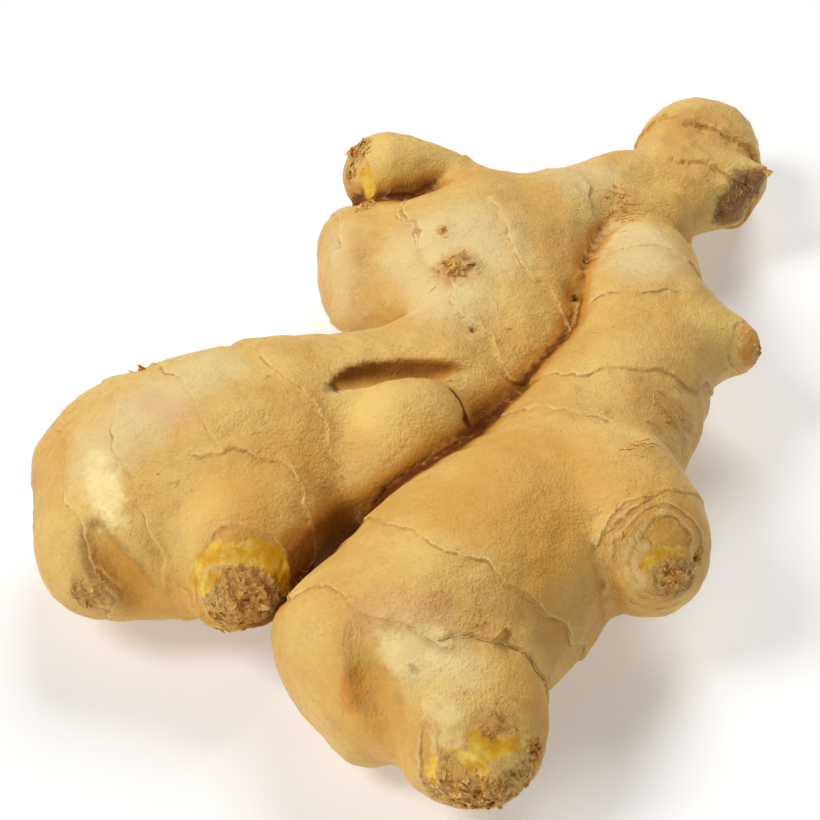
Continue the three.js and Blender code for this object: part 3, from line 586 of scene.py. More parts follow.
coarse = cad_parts["ginger_rhizome"]
blank = bpy.data.objects.new("blank", coarse.data.copy())
bpy.context.scene.collection.objects.link(blank)
even = blank.modifiers.new("even", "REMESH")
even.mode = "VOXEL"
even.voxel_size = SKIN_CELL / METRE
blank.modifiers.new("triangles", "TRIANGULATE")
graph = bpy.context.evaluated_depsgraph_get()
even_mesh = bpy.data.meshes.new_from_object(blank.evaluated_get(graph))
bpy.data.objects.remove(blank)
flesh_points = np.empty(len(even_mesh.vertices) * 3, np.float32)
even_mesh.vertices.foreach_get("co", flesh_points)
flesh_points = flesh_points.reshape(-1, 3).astype(float) * METRE
skin_faces = np.empty(len(even_mesh.polygons) * 3, np.int32)
even_mesh.polygons.foreach_get("vertices", skin_faces)
skin_faces = skin_faces.reshape(-1, 3)
bpy.data.meshes.remove(even_mesh)


NO_RING = 9.0                   # the distance given where no ring is near, millimetres
NO_SAY = 8.0                    # the distance added where a ring doesn't count
RESTING = 0.5                   # lower than this the skin lies on the table, millimetres
# How near to a ring, and to husk or bare flesh, the mesh is halved, and halved again.
FINE_NEAR = [(1.2, 0.6), (0.25, -0.2)]


def ring_distance(points, own):
    """Distance from the nearest leaf ring or cup edge, and how far ahead of that edge."""
    gap = np.full(len(points), NO_RING)
    ahead_of = np.full(len(points), NO_RING)
    for ahead, count, _ in ring_fields(points, own):
        away = np.sqrt(ahead ** 2 + (NO_SAY * (1.0 - count)) ** 2)
        ahead_of = np.where(away < gap, ahead, ahead_of)
        gap = np.minimum(gap, away)
    return gap, ahead_of


def near_detail(ring_width, mark_width):
    """Picks the edges near a ring, husk or bare flesh, above the resting places."""
    def wanted(points, edges):
        marks = marks_at(points)
        near = ring_distance(points, flesh_distance(points)[1])[0] < ring_width
        near |= np.minimum(marks["husk"], marks["flesh"]) < mark_width
        return near[edges].any(axis=1) & (points[edges][:, :, 2].max(axis=1) > RESTING)
    return wanted


flesh_points = settle(flesh_points, skin_faces, 2)
for widths in FINE_NEAR:
    flesh_points, skin_faces = split_edges(flesh_points, skin_faces, near_detail(*widths))
    flesh_points = settle(flesh_points, skin_faces, 1)

own = flesh_distance(flesh_points)[1]
skin_marks = marks_at(flesh_points)
ring_gap, ring_ahead = ring_distance(flesh_points, own)


def flesh_slope(points):
    """The way straight out of the flesh, also where two limbs nearly touch."""
    slope = np.column_stack([flesh_distance(points + step)[0] for step in 0.1 * np.eye(3)])
    slope -= flesh_distance(points)[0][:, None]
    return slope / np.maximum(np.linalg.norm(slope, axis=1, keepdims=True), 1e-9)


def shut_in(points, outward, reach):
    """0 where the flesh falls away all round, 1 at the bottom of a tight crevice."""
    return 1.0 - np.clip(flesh_distance(points + reach * outward)[0] / reach, 0.0, 1.0)


def smooth_where(points, faces, share, rounds):
    """Draws the wanted vertices towards the middle of their neighbours."""
    ends = np.vstack([faces[:, [0, 1]], faces[:, [1, 2]], faces[:, [2, 0]]])
    count = np.bincount(ends[:, 0], minlength=len(points))[:, None]
    for _ in range(rounds):
        total = [np.bincount(ends[:, 0], points[ends[:, 1], k], len(points)) for k in range(3)]
        points = points + share[:, None] * (np.column_stack(total) / count - points)
    return points


TIGHT_REACH = 1.6               # how far out of a tight crevice is felt, millimetres
HOLLOW_REACH = 6.5              # and out of a wide hollow
CREVICE_SHARE = 0.7             # how far a crevice's vertices move to the middle
CREVICE_ROUNDS = 14

outward = flesh_slope(flesh_points)
tight = shut_in(flesh_points, outward, TIGHT_REACH)
hollow = shut_in(flesh_points, outward, HOLLOW_REACH)
drawn = CREVICE_SHARE * smoothstep(tight, 0.35, 0.6)
flesh_points = smooth_where(flesh_points, skin_faces, drawn, CREVICE_ROUNDS)
height = relief(flesh_points, own, skin_marks)
skin_points = flesh_points + height[:, None] * vertex_normals(flesh_points, skin_faces)
skin_points[:, 2] = np.maximum(skin_points[:, 2], 0.0)


def solid_from(name, points, faces, sharp=None):
    """A smooth-shaded piece; edges that turn more than sharp degrees stay crisp."""
    mesh = bpy.data.meshes.new(name)
    mesh.vertices.add(len(points))
    mesh.vertices.foreach_set("co", (np.asarray(points) / METRE).astype(np.float32).ravel())
    faces = np.asarray(faces, np.int32)
    mesh.loops.add(faces.size)
    mesh.loops.foreach_set("vertex_index", faces.ravel())
    mesh.polygons.add(len(faces))
    mesh.polygons.foreach_set("loop_start", np.arange(len(faces), dtype=np.int32) * faces.shape[1])
    mesh.update(calc_edges=True)
    mesh.validate()
    mesh.shade_smooth()
    if sharp:
        mesh.set_sharp_from_angle(angle=math.radians(sharp))
    piece = bpy.data.objects.new(name, mesh)
    bpy.context.scene.collection.objects.link(piece)
    return piece


def mark(piece, name, values):
    """Gives the piece's material a number at each vertex."""
    layer = piece.data.attributes.new(name, "FLOAT", "POINT")
    layer.data.foreach_set("value", np.asarray(values, np.float32))


rhizome = solid_from("rhizome_skin", skin_points, skin_faces)
mark(rhizome, "ring_gap", ring_gap)
mark(rhizome, "ring_ahead", np.clip(ring_ahead, -NO_RING, NO_RING))
mark(rhizome, "tight", tight)
mark(rhizome, "hollow", hollow)
for kind, distance in skin_marks.items():
    mark(rhizome, kind, np.clip(distance, -6, 9))
eye_tips = np.array([tip for _, tip, *_ in EYES.values()])
from_eye = np.linalg.norm(skin_points[:, None] - eye_tips, axis=2).min(axis=1)
mark(rhizome, "from_eye", np.clip(from_eye, 0, 20))


# The skin is a thin dry cork over yellow flesh: tan gold, finely mottled, paler
# where it is worn, and waxy where its outermost layer has come off. Painted light
# is laid over it too: painted highlight on the tops and lit sides, and painted shade
# as deeper gold on shaded sides and brown in the hollows, crevices and pits.
def paint(red, green, blue):
    """A colour given as it looks on a screen, 0 to 255, as the shader wants it."""
    linear = [((c / 255 + 0.055) / 1.055) ** 2.4 if c > 10 else c / 255 / 12.92
              for c in (red, green, blue)]
    return (*linear, 1.0)


class Recipe:
    """A material being mixed: each method adds nodes and returns their output."""

    def __init__(self, name):
        self.material = bpy.data.materials.new(name)
        self.material.use_nodes = True
        self.tree = self.material.node_tree
        self.shader = self.tree.nodes["Principled BSDF"]
        self.place = self.tree.nodes.new("ShaderNodeTexCoord").outputs["Object"]

    def feed(self, socket, value):
        if isinstance(value, bpy.types.NodeSocket):
            self.tree.links.new(value, socket)
        else:
            socket.default_value = value

    def mark(self, name):
        """The number that the mesh holds under a name."""
        made = self.tree.nodes.new("ShaderNodeAttribute")
        made.attribute_name = name
        return made.outputs["Fac"]

    def noise(self, size, detail=3.0, roughness=0.55, twist=0.0):
        """A random pattern whose patches are so many millimetres wide."""
        made = self.tree.nodes.new("ShaderNodeTexNoise")
        self.feed(made.inputs["Vector"], self.place)
        made.inputs["Scale"].default_value = METRE / size
        made.inputs["Detail"].default_value = detail
        made.inputs["Roughness"].default_value = roughness
        made.inputs["Distortion"].default_value = twist
        return made.outputs["Fac"]

    def math(self, operation, *values):
        made = self.tree.nodes.new("ShaderNodeMath")
        made.operation = operation
        for socket, value in zip(made.inputs, values):
            self.feed(socket, value)
        return made.outputs["Value"]

    def between(self, value, low, high, out_low=0.0, out_high=1.0):
        """Eases from out_low to out_high as the value goes from low to high."""
        made = self.tree.nodes.new("ShaderNodeMapRange")
        made.interpolation_type = "SMOOTHSTEP"
        self.feed(made.inputs["Value"], value)
        levels = {"From Min": low, "From Max": high, "To Min": out_low, "To Max": out_high}
        for name, level in levels.items():
            made.inputs[name].default_value = level
        return made.outputs["Result"]

    def times(self, *values):
        product = values[0]
        for value in values[1:]:
            product = self.math("MULTIPLY", product, value)
        return product

    def mix(self, share, first, second):
        made = self.tree.nodes.new("ShaderNodeMix")
        made.data_type = "RGBA"
        self.feed(made.inputs["Factor"], share)
        colours = [s for s in made.inputs if s.type == "RGBA"]
        self.feed(colours[0], first)
        self.feed(colours[1], second)
        return next(s for s in made.outputs if s.type == "RGBA")

    def layers(self, colour, *coats):
        """Lays coats over a colour: (pattern, where it starts, where it is full, share, tint)."""
        for pattern, start, full, share, tint in coats:
            colour = self.mix(self.between(pattern, start, full, 0.0, share), colour, tint)
        return colour

    def bump(self, height, depth, strength, normal=None):
        made = self.tree.nodes.new("ShaderNodeBump")
        made.inputs["Strength"].default_value = strength
        made.inputs["Distance"].default_value = depth / METRE
        self.feed(made.inputs["Height"], height)
        if normal is not None:
            self.feed(made.inputs["Normal"], normal)
        return made.outputs["Normal"]


# the skin: painted shade for its folds and hollows, painted highlight for its tops and lit sides, and where
# it is young, worn or bruised
TAN = paint(225, 175, 84)
TAN_LIGHT = paint(237, 198, 110)
TAN_DARK = paint(204, 148, 68)
# painted shade for the hollows
HOLLOW_SHADE_TAN = paint(206, 136, 50)
WORN_AND_LIT_TAN = paint(242, 216, 154)
GOLD_AND_SHADE_TAN = paint(224, 164, 62)
YOUNG_AND_LIT_GOLD = paint(248, 208, 116)
PEEL_PALE = paint(252, 232, 162)
BLUSH_PINK = paint(224, 156, 116)
STAIN_ORANGE = paint(228, 148, 46)
DULL_GREEN = paint(176, 158, 100)
# painted shade for the crevices
CREASE_SHADE_BROWN = paint(100, 50, 15)
# painted shade for the pits
PIT_SHADE_BROWN = paint(64, 34, 14)
RING_BROWN = paint(166, 94, 30)
LIP_CREAM = paint(244, 214, 150)
# the flesh, the husk of the tips, and the scar
FLESH_YELLOW = paint(224, 162, 16)
FLESH_LIGHT = paint(246, 208, 84)
HUSK_BROWN = paint(206, 148, 68)
HUSK_DARK = paint(130, 74, 30)
HUSK_PALE = paint(238, 194, 112)
HUSK_GREY = paint(188, 138, 78)
SCAR_BROWN = paint(160, 110, 62)
SCAR_PURPLE = paint(120, 76, 44)

cork = Recipe("ginger_cork")
fine = cork.noise(1.4, 5, 0.75)
grit = cork.noise(0.5, 3, 0.7)
# what tears the edges of the marks, coarse and fine
ragged = cork.math("SUBTRACT", cork.noise(2.2, 5, 0.65), 0.5)
fray = cork.math("SUBTRACT", cork.noise(0.9, 4, 0.7), 0.5)


def worn_mark(name, soft, tear, frayed=0.0):
    """1 inside a mark, 0 outside it, with an edge so soft, torn and frayed, in millimetres."""
    edge = cork.math("MULTIPLY_ADD", ragged, tear, cork.mark(name))
    if frayed:
        edge = cork.math("MULTIPLY_ADD", fray, frayed, edge)
    return cork.between(edge, -soft, soft, 1.0, 0.0)


# the mottling of the whole skin, from patches to specks
colour = cork.mix(cork.between(cork.noise(16, 3, 0.6), 0.35, 0.65), TAN, TAN_LIGHT)
colour = cork.layers(
    colour,
    (cork.noise(7, 6, 0.7, 0.4), 0.5, 0.72, 0.35, TAN_DARK),
    (fine, 0.5, 0.7, 0.3, TAN_DARK),
    (fine, 0.5, 0.32, 0.3, TAN_LIGHT),
    (grit, 0.54, 0.72, 0.38, HUSK_BROWN),
    (grit, 0.46, 0.3, 0.28, LIP_CREAM),
    (cork.noise(1.2, 1, 0.5), 0.75, 0.81, 0.6, RING_BROWN))

# stretches of other skin, partly painted light: pale, young and peel add painted highlight,
# golden adds painted shade (kind of mark, how soft, torn and frayed its edge, share, tint)
STRETCHES = [
    ("pale", 5.0, 9.0, 3.0, 0.8, WORN_AND_LIT_TAN),
    ("young", 3.5, 6.0, 2.0, 0.85, YOUNG_AND_LIT_GOLD),
    ("golden", 4.5, 8.0, 2.0, 0.7, GOLD_AND_SHADE_TAN),
    ("blush", 2.0, 4.0, 0.0, 0.3, BLUSH_PINK),
    ("peel", 1.2, 8.0, 2.5, 0.5, PEEL_PALE),
    ("stain", 0.9, 6.0, 2.0, 0.8, STAIN_ORANGE),
    ("rough", 1.2, 5.0, 2.0, 0.4, HUSK_BROWN),
]
for kind, soft, tear, frayed, share, tint in STRETCHES:
    colour = cork.mix(cork.times(worn_mark(kind, soft, tear, frayed), share), colour, tint)

# painted shade: warm tan deep in the hollows and dark brown in the tight crevices; and the bruise
hollow_part = cork.math("MULTIPLY_ADD", ragged, 0.25, cork.mark("hollow"))
crevice_shade_part = cork.math("MULTIPLY_ADD", ragged, 0.3, cork.mark("tight"))
colour = cork.layers(
    colour,
    (hollow_part, 0.1, 0.6, 0.7, HOLLOW_SHADE_TAN),
    (hollow_part, 0.5, 0.95, 0.6, CREASE_SHADE_BROWN),
    (crevice_shade_part, 0.15, 0.7, 0.95, CREASE_SHADE_BROWN))
colour = cork.mix(cork.times(worn_mark("dull", 0.25, 0.6), 0.8), colour, DULL_GREEN)

# rings: a pale thread on the lip, a thin broken brown line past it, partly stain and partly painted shade
# under the step, and a darker band
ring = cork.math("MULTIPLY_ADD", ragged, 0.8, cork.mark("ring_ahead"))
near_ring = cork.between(cork.mark("ring_gap"), 2.5, 3.5, 1, 0)
keep = cork.times(cork.between(cork.noise(6, 3, 0.6), 0.42, 0.62), near_ring)
from_lip = cork.math("ABSOLUTE", cork.math("ADD", ring, 0.25))
lip = cork.times(cork.between(from_lip, 0.05, 0.25, 1, 0), keep)
line_width = cork.between(cork.noise(3.1, 2), 0.35, 0.7, 0.05, 0.2)
line = cork.math("COMPARE", ring, 0.08, line_width)
line = cork.times(line, keep, cork.between(cork.noise(1.1, 2), 0.35, 0.5))
past = cork.times(cork.between(ring, 0.0, 3.0, 1, 0), cork.between(ring, -0.2, 0.2), near_ring)
for part, share, tint in ((past, 0.15, TAN_DARK), (lip, 0.5, LIP_CREAM), (line, 0.5, RING_BROWN)):
    colour = cork.mix(cork.times(part, share), colour, tint)

# the tips: fibres wound round them, in bands that fray into each other
BANDS = 1.15                    # to a millimetre
husk = worn_mark("husk", 0.7, 4.0, 2.5)
wound = cork.math("MULTIPLY_ADD", ragged, 2.6, cork.times(cork.mark("from_eye"), BANDS))
wound = cork.math("MULTIPLY_ADD", fray, 0.8, wound)
band = cork.math("FRACT", wound)
husk_colour = cork.mix(cork.between(fine, 0.36, 0.64), HUSK_BROWN, HUSK_PALE)
husk_colour = cork.layers(
    husk_colour,
    (cork.noise(4, 3, 0.6), 0.5, 0.66, 0.4, HUSK_GREY),
    (band, 0.78, 1.0, 0.5, HUSK_DARK),
    (band, 0.35, 0.05, 0.5, HUSK_PALE),
    (cork.noise(1.3, 4, 0.7), 0.57, 0.68, 0.7, HUSK_DARK))
colour = cork.mix(cork.times(husk, 0.92), colour, husk_colour)

# the scar, bruised purple under its dry brown
scar_colour = cork.mix(cork.between(cork.noise(2.6, 4, 0.65), 0.38, 0.62), SCAR_BROWN, SCAR_PURPLE)
scar_colour = cork.layers(scar_colour, (cork.noise(0.9, 3, 0.6), 0.55, 0.7, 0.5, HUSK_BROWN))
colour = cork.mix(cork.times(worn_mark("scar", 0.9, 4.0, 2.0), 0.9), colour, scar_colour)

# bare flesh, with shreds of skin on it and an orange rim where it has dried, and the pits darkened with
# painted shade
flesh = worn_mark("flesh", 0.3, 1.8, 1.0)
flesh_colour = cork.mix(cork.between(cork.noise(3.5, 3, 0.6), 0.38, 0.66), FLESH_YELLOW, FLESH_LIGHT)
flesh_colour = cork.layers(flesh_colour, (cork.noise(2.2, 4, 0.65, 0.5), 0.56, 0.7, 0.5, PEEL_PALE))
flesh_rim = cork.times(worn_mark("flesh", 1.3, 2.2, 1.0), cork.math("SUBTRACT", 1.0, flesh))
dried = cork.between(cork.noise(1.8, 3), 0.42, 0.62, 0.0, 0.55)
colour = cork.mix(cork.times(flesh_rim, dried), colour, STAIN_ORANGE)
colour = cork.mix(flesh, colour, flesh_colour)
colour = cork.mix(cork.times(worn_mark("pit", 0.5, 1.4, 0.8), 0.92), colour, PIT_SHADE_BROWN)
cork.feed(cork.shader.inputs["Base Color"], colour)

# waxy and smoother where it has peeled or the flesh is bare, and dull in the hollows
wax = cork.math("MAXIMUM", worn_mark("peel", 1.5, 4.0), flesh)
dry_gloss = cork.between(fine, 0.3, 0.7, 0.42, 0.6)
gloss = cork.math("MULTIPLY_ADD", wax, -0.22, dry_gloss)
cork.feed(cork.shader.inputs["Roughness"], gloss)
cork.feed(cork.shader.inputs["Specular IOR Level"], cork.between(hollow_part, 0.2, 0.6, 0.42, 0.04))
uneven_part = cork.math("SUBTRACT", 1.0, cork.times(wax, 0.7))


def centred(noise, share):
    """The ups and downs of a noise, fading with the share, so its border is no step."""
    return cork.times(cork.math("SUBTRACT", noise, 0.5), share)


# the finest relief (height, its depth in millimetres, strength)
wrinkle = None
for height, depth, strength in (
        (centred(cork.noise(5.5, 5, 0.6, 0.2), uneven_part), 1.6, 0.5),
        (centred(fine, uneven_part), 0.4, 0.4),
        (centred(grit, uneven_part), 0.35, 0.8),
        (centred(band, husk), 0.3, 0.5),
        (centred(cork.noise(0.9, 4, 0.7), husk), 0.5, 0.7),
        (cork.math("SUBTRACT", centred(cork.noise(0.8, 3), lip), line), 0.12, 0.5)):
    wrinkle = cork.bump(height, depth, strength, wrinkle)
cork.feed(cork.shader.inputs["Normal"], wrinkle)
rhizome.data.materials.append(cork.material)

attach(rhizome, "root")
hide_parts("ginger_rhizome")

# ---------------------------------------------------------------- the leaf edges
# What is left of the scale leaves: a dry, papery, torn edge along each ring and
# each cup, thin as an onion skin and broken off in places. Each bit is a closed
# strip, set in the skin along the ring and leaning far over to one side of it.
PAPER_STEP = 0.3                # spacing along a strip, millimetres
PAPER_THICK = 0.08              # at its foot; the torn edge is thinner
PAPER_ROOT = 0.2                # how deep it is set in the skin
PAPER_LOWEST = 0.04             # torn off shorter than this, none is left, millimetres
PAPER_SEED = 11
PAPER_SHARP = 35                # degrees; the torn edge stays crisp
SHORTEST_RUN = 12               # crossings of the mesh; a run of no more holds no paper
SURE = 0.6                      # how much a ring has to count to hold paper
TIGHTEST = 0.25                 # none is left in a crevice tighter than this
UNDERSIDE = 1.2                 # nor lower than this, where the hand lies, millimetres
PEAK_SPACING = 14               # millimetres from one torn peak to the next, on average
LEAN_LEAST, LEAN_MORE = 60, 26  # degrees from upright
# How tall the paper stands where the step is 0.8 mm, in millimetres, and how much
# of it is whole: on most rings, on the cups, and on the rings where more is left.
# Its torn peaks are tallest where the sheath of the front bud has lifted.
RING_PAPER = (0.13, 0.3)
CUP_PAPER = (0.28, 0.5)
TALL_PAPER = {
    "front_sheath": (0.5, 0.7),
    "head_top": (0.5, 0.6),
    "right_last": (0.35, 0.5),
    "left_second": (0.25, 0.4),
    "left_first": (0.2, 0.4),
}

skin_normals = vertex_normals(skin_points, skin_faces)


def trace_ring(ahead, count):
    """The lines on the skin where a ring's distance is nought: runs of points and normals."""
    there = (count > SURE) & (tight < TIGHTEST) & (skin_points[:, 2] > UNDERSIDE)
    there = there[skin_faces].all(axis=1)
    sides = (ahead > 0)[skin_faces]
    faces = skin_faces[there & (sides.any(axis=1) != sides.all(axis=1))]
    links, spots = {}, {}
    for face in faces:
        ends = []
        for a, b in ((face[0], face[1]), (face[1], face[2]), (face[2], face[0])):
            if (ahead[a] > 0) != (ahead[b] > 0):
                low, high = min(a, b), max(a, b)
                share = ahead[low] / (ahead[low] - ahead[high])
                spots[low, high] = [rows[low] * (1 - share) + rows[high] * share
                                    for rows in (skin_points, skin_normals)]
                ends.append((low, high))
        links.setdefault(ends[0], []).append(ends[1])
        links.setdefault(ends[1], []).append(ends[0])
    runs = []
    waiting = sorted(links, key=lambda key: len(links[key]))
    seen = set()
    for start in waiting:
        if start in seen:
            continue
        run = [start]
        seen.add(start)
        here = start
        while True:
            onward = [key for key in links[here] if key not in seen]
            if not onward:
                break
            here = onward[0]
            seen.add(here)
            run.append(here)
        if len(run) > SHORTEST_RUN:
            runs.append([np.array([spots[key][which] for key in run]) for which in (0, 1)])
    return runs


def even_run(points, normals, step):
    """A run smoothed and given even stops."""
    for _ in range(2):
        points[1:-1] = 0.5 * points[1:-1] + 0.25 * (points[:-2] + points[2:])
    length = np.r_[0, np.cumsum(np.linalg.norm(np.diff(points, axis=0), axis=1))]
    stops = np.arange(0, length[-1], step)
    line, up = [np.column_stack([np.interp(stops, length, column) for column in rows.T])
                for rows in (points, normals)]
    return stops, line, up / np.linalg.norm(up, axis=1, keepdims=True)


def soft_noise(stops, spacing, rng):
    """A value from 0 to 1 that wanders along a strip."""
    knots = rng.random(int(stops[-1] / spacing) + 4)
    return np.interp(stops / spacing, np.arange(len(knots)), knots)


def torn_height(stops, tall, whole, rng):
    """Height of a torn edge along a strip: stretches of it are missing."""
    left = soft_noise(stops, 4.5, rng) * 0.7 + soft_noise(stops, 1.6, rng) * 0.3
    there = smoothstep(left, 1.0 - whole - 0.1, 1.0 - whole + 0.1)
    height = tall * there * (0.25 + 0.75 * soft_noise(stops, 0.9, rng) ** 1.5)
    for _ in range(rng.poisson(stops[-1] / PEAK_SPACING)):
        middle = rng.random() * stops[-1]
        width = 0.5 + rng.random()
        extra = tall * (0.8 + 1.5 * rng.random())
        height = np.maximum(height, extra * np.clip(1 - np.abs(stops - middle) / width, 0, 1))
    return height


def lofted(rows):
    """A closed mesh through sections that follow each other."""
    count, around = rows.shape[:2]
    corner = np.arange(count * around).reshape(count, around)
    faces = []
    for k in range(around):
        a, b = corner[:-1, k], corner[:-1, (k + 1) % around]
        c, d = corner[1:, (k + 1) % around], corner[1:, k]
        faces.append(np.column_stack([a, b, c]))
        faces.append(np.column_stack([a, c, d]))
    for k in range(1, around - 1):
        faces.append(corner[:1, [0, k + 1, k]])
        faces.append(corner[-1:, [0, k, k + 1]])
    return rows.reshape(-1, 3), np.vstack(faces)


def strip(points, normals, forwards, height, lean):
    """A closed strip of paper: five points round its section at each stop."""
    taper = np.minimum(1.0, height / 0.3)[:, None]
    rise = normals * np.cos(lean)[:, None] + forwards * np.sin(lean)[:, None]
    foot = points - normals * PAPER_ROOT
    middle = points + rise * (0.5 * height)[:, None] + normals * (0.12 * height)[:, None]
    tip = points + rise * height[:, None]
    side = forwards * (0.5 * PAPER_THICK) * taper
    section = [foot - side, middle - 0.7 * side, tip, middle + 0.7 * side, foot + side]
    return lofted(np.stack(section, axis=1))


def paper_edges(field, tall, whole, seed):
    """The torn bits left along one ring or cup, each a closed strip."""
    rng = np.random.default_rng(seed)
    ahead, count, step = field
    bits = []
    for run, run_normals in trace_ring(ahead, count):
        stops, line, up = even_run(run, run_normals, PAPER_STEP)
        if len(stops) < 8:
            continue
        forward = np.cross(np.gradient(line, axis=0), up)
        forward /= np.maximum(np.linalg.norm(forward, axis=1, keepdims=True), 1e-9)
        height = torn_height(stops, tall * (0.6 + 0.5 * step), whole, rng)
        lean = np.radians(LEAN_LEAST + LEAN_MORE * soft_noise(stops, 3, rng))
        standing = height > PAPER_LOWEST
        edges = np.flatnonzero(np.diff(np.r_[0, standing.astype(int), 0]))
        for first, last in zip(edges[::2], edges[1::2]):
            if last - first >= 3:
                some = slice(first, last)
                bits.append(strip(line[some], up[some], forward[some], height[some], lean[some]))
    return bits


def fused(bits):
    """Many closed bits as one mesh."""
    starts = np.cumsum([0] + [len(points) for points, _ in bits])
    return (np.vstack([points for points, _ in bits]),
            np.vstack([faces + start for (_, faces), start in zip(bits, starts)]))


ring_names = list(RINGS)
ring_bits = []
cup_bits = []
for n, field in enumerate(ring_fields(flesh_points, own)):
    if n < len(ring_names):
        ring_bits += paper_edges(field, *TALL_PAPER.get(ring_names[n], RING_PAPER), PAPER_SEED + n)
    else:
        cup_bits += paper_edges(field, *CUP_PAPER, PAPER_SEED + n)
leaf_edges = solid_from("leaf_edges", *fused(ring_bits), PAPER_SHARP)
cup_edges = solid_from("bud_leaf_edges", *fused(cup_bits), PAPER_SHARP)

PAPER_PALE = paint(246, 208, 128)
PAPER_BROWN = paint(214, 150, 66)

paper = Recipe("dry_leaf_paper")
tone = paper.mix(paper.between(paper.noise(1.0, 4, 0.6), 0.4, 0.65), PAPER_PALE, PAPER_BROWN)
tone = paper.layers(tone, (paper.noise(6), 0.5, 0.7, 0.25, RING_BROWN))
paper.feed(paper.shader.inputs["Base Color"], tone)
paper.shader.inputs["Roughness"].default_value = 0.6
paper.shader.inputs["Specular IOR Level"].default_value = 0.25
paper.shader.inputs["Subsurface Weight"].default_value = 0.2
paper.shader.inputs["Subsurface Scale"].default_value = 0.0006
paper.feed(paper.shader.inputs["Normal"], paper.bump(paper.noise(0.4, 3), 0.08, 0.8))
for piece in (leaf_edges, cup_edges):
    piece.data.materials.append(paper.material)
    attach(piece, "root")

# ---------------------------------------------------------------- the husk
# The growing tips and old scars are crowded with dead scale leaves: small, thin,
# brown, curled and overlapping. Each is a closed leaf-shaped plate, set in the
# skin by its foot, and so are the torn rims of the two root stubs.
ACROSS, ALONG = 5, 4            # points over a plate
PLATE_THICK = 0.12              # at its foot, millimetres; the tip is thinner
PLATE_ROOT = 0.25               # how deep the foot is set in the skin
PLATE_SHARP = 50                # degrees; a plate's rim stays crisp
PLATE_LOWEST = 1.0              # none stands lower than this, where the hand lies
HUSK_SEED = 7


def plate(foot, up, forward, width, length, lift, curl, rng):
    """One scale: its foot on the skin, its tip lifted by the angle, its sides curled up."""
    side = np.cross(forward, up)
    across, along = np.meshgrid(np.linspace(-1, 1, ACROSS), np.linspace(0, 1, ALONG), indexing="ij")
    reach = length * (1 - 0.45 * rng.random(ACROSS))[:, None] * along
    spread = 0.5 * width * across * np.sqrt(1.0 - 0.75 * along ** 2)
    rise = reach * math.sin(lift) + curl * across ** 2 * width * along - PLATE_ROOT * (along == 0)
    rise = rise + 0.09 * length * (rng.random(across.shape) - 0.5)
    middle = (foot + spread[..., None] * side + (reach * math.cos(lift))[..., None] * forward
              + rise[..., None] * up)
    leaf_up = up * math.cos(lift) - forward * math.sin(lift)
    half = (0.5 * PLATE_THICK * (1.0 - 0.6 * along))[..., None] * leaf_up
    points = np.vstack([(middle + half).reshape(-1, 3), (middle - half).reshape(-1, 3)])
    index = np.arange(ACROSS * ALONG).reshape(ACROSS, ALONG)
    a, b = index[:-1, :-1].ravel(), index[1:, :-1].ravel()
    c, d = index[1:, 1:].ravel(), index[:-1, 1:].ravel()
    top = np.vstack([np.column_stack([a, b, c]), np.column_stack([a, c, d])])
    rim = np.r_[index[:, 0], index[-1, 1:], index[-2::-1, -1], index[0, -2:0:-1]]
    onward = np.roll(rim, -1)
    below = ACROSS * ALONG
    walls = np.vstack([np.column_stack([onward, rim, rim + below]),
                       np.column_stack([onward, rim + below, onward + below])])
    return points, np.vstack([top, top[:, ::-1] + below, walls])


def plate_at(place, forward, width, length, lift, curl, rng):
    """One scale of its own, its foot on the nearest skin."""
    spot = int(np.argmin(np.linalg.norm(skin_points - np.array(place), axis=1)))
    up = skin_normals[spot]
    forward = unit(np.array(forward) - (np.array(forward) @ up) * up)
    return plate(skin_points[spot], up, forward, width, length, math.radians(lift), curl, rng)


def scatter_plates(centre, facing, inner, outer, count, size, lift, outward, rng):
    """Scales between two distances from a tip, pointing to the tip or, some, outward."""
    facing = unit(facing)
    offset = skin_points - np.array(centre)
    away = np.linalg.norm(offset, axis=1)
    spots = np.flatnonzero((away > inner) & (away < outer) & (skin_points[:, 2] > PLATE_LOWEST))
    made = []
    for spot in rng.choice(spots, count):
        up = skin_normals[spot]
        towards = -(offset[spot] - (offset[spot] @ facing) * facing) + 0.3 * rng.normal(size=3)
        towards = towards * (-1 if rng.random() < outward else 1)
        forward = towards - (towards @ up) * up
        forward = forward / max(np.linalg.norm(forward), 1e-6)
        long = size * (0.5 + rng.random())
        wide = long * (0.3 + 0.6 * rng.random())
        angle = math.radians(lift * (0.4 + 0.9 * rng.random()))
        curl = 0.25 * rng.random()
        made.append(plate(skin_points[spot], up, forward, wide, long, angle, curl, rng))
    return made


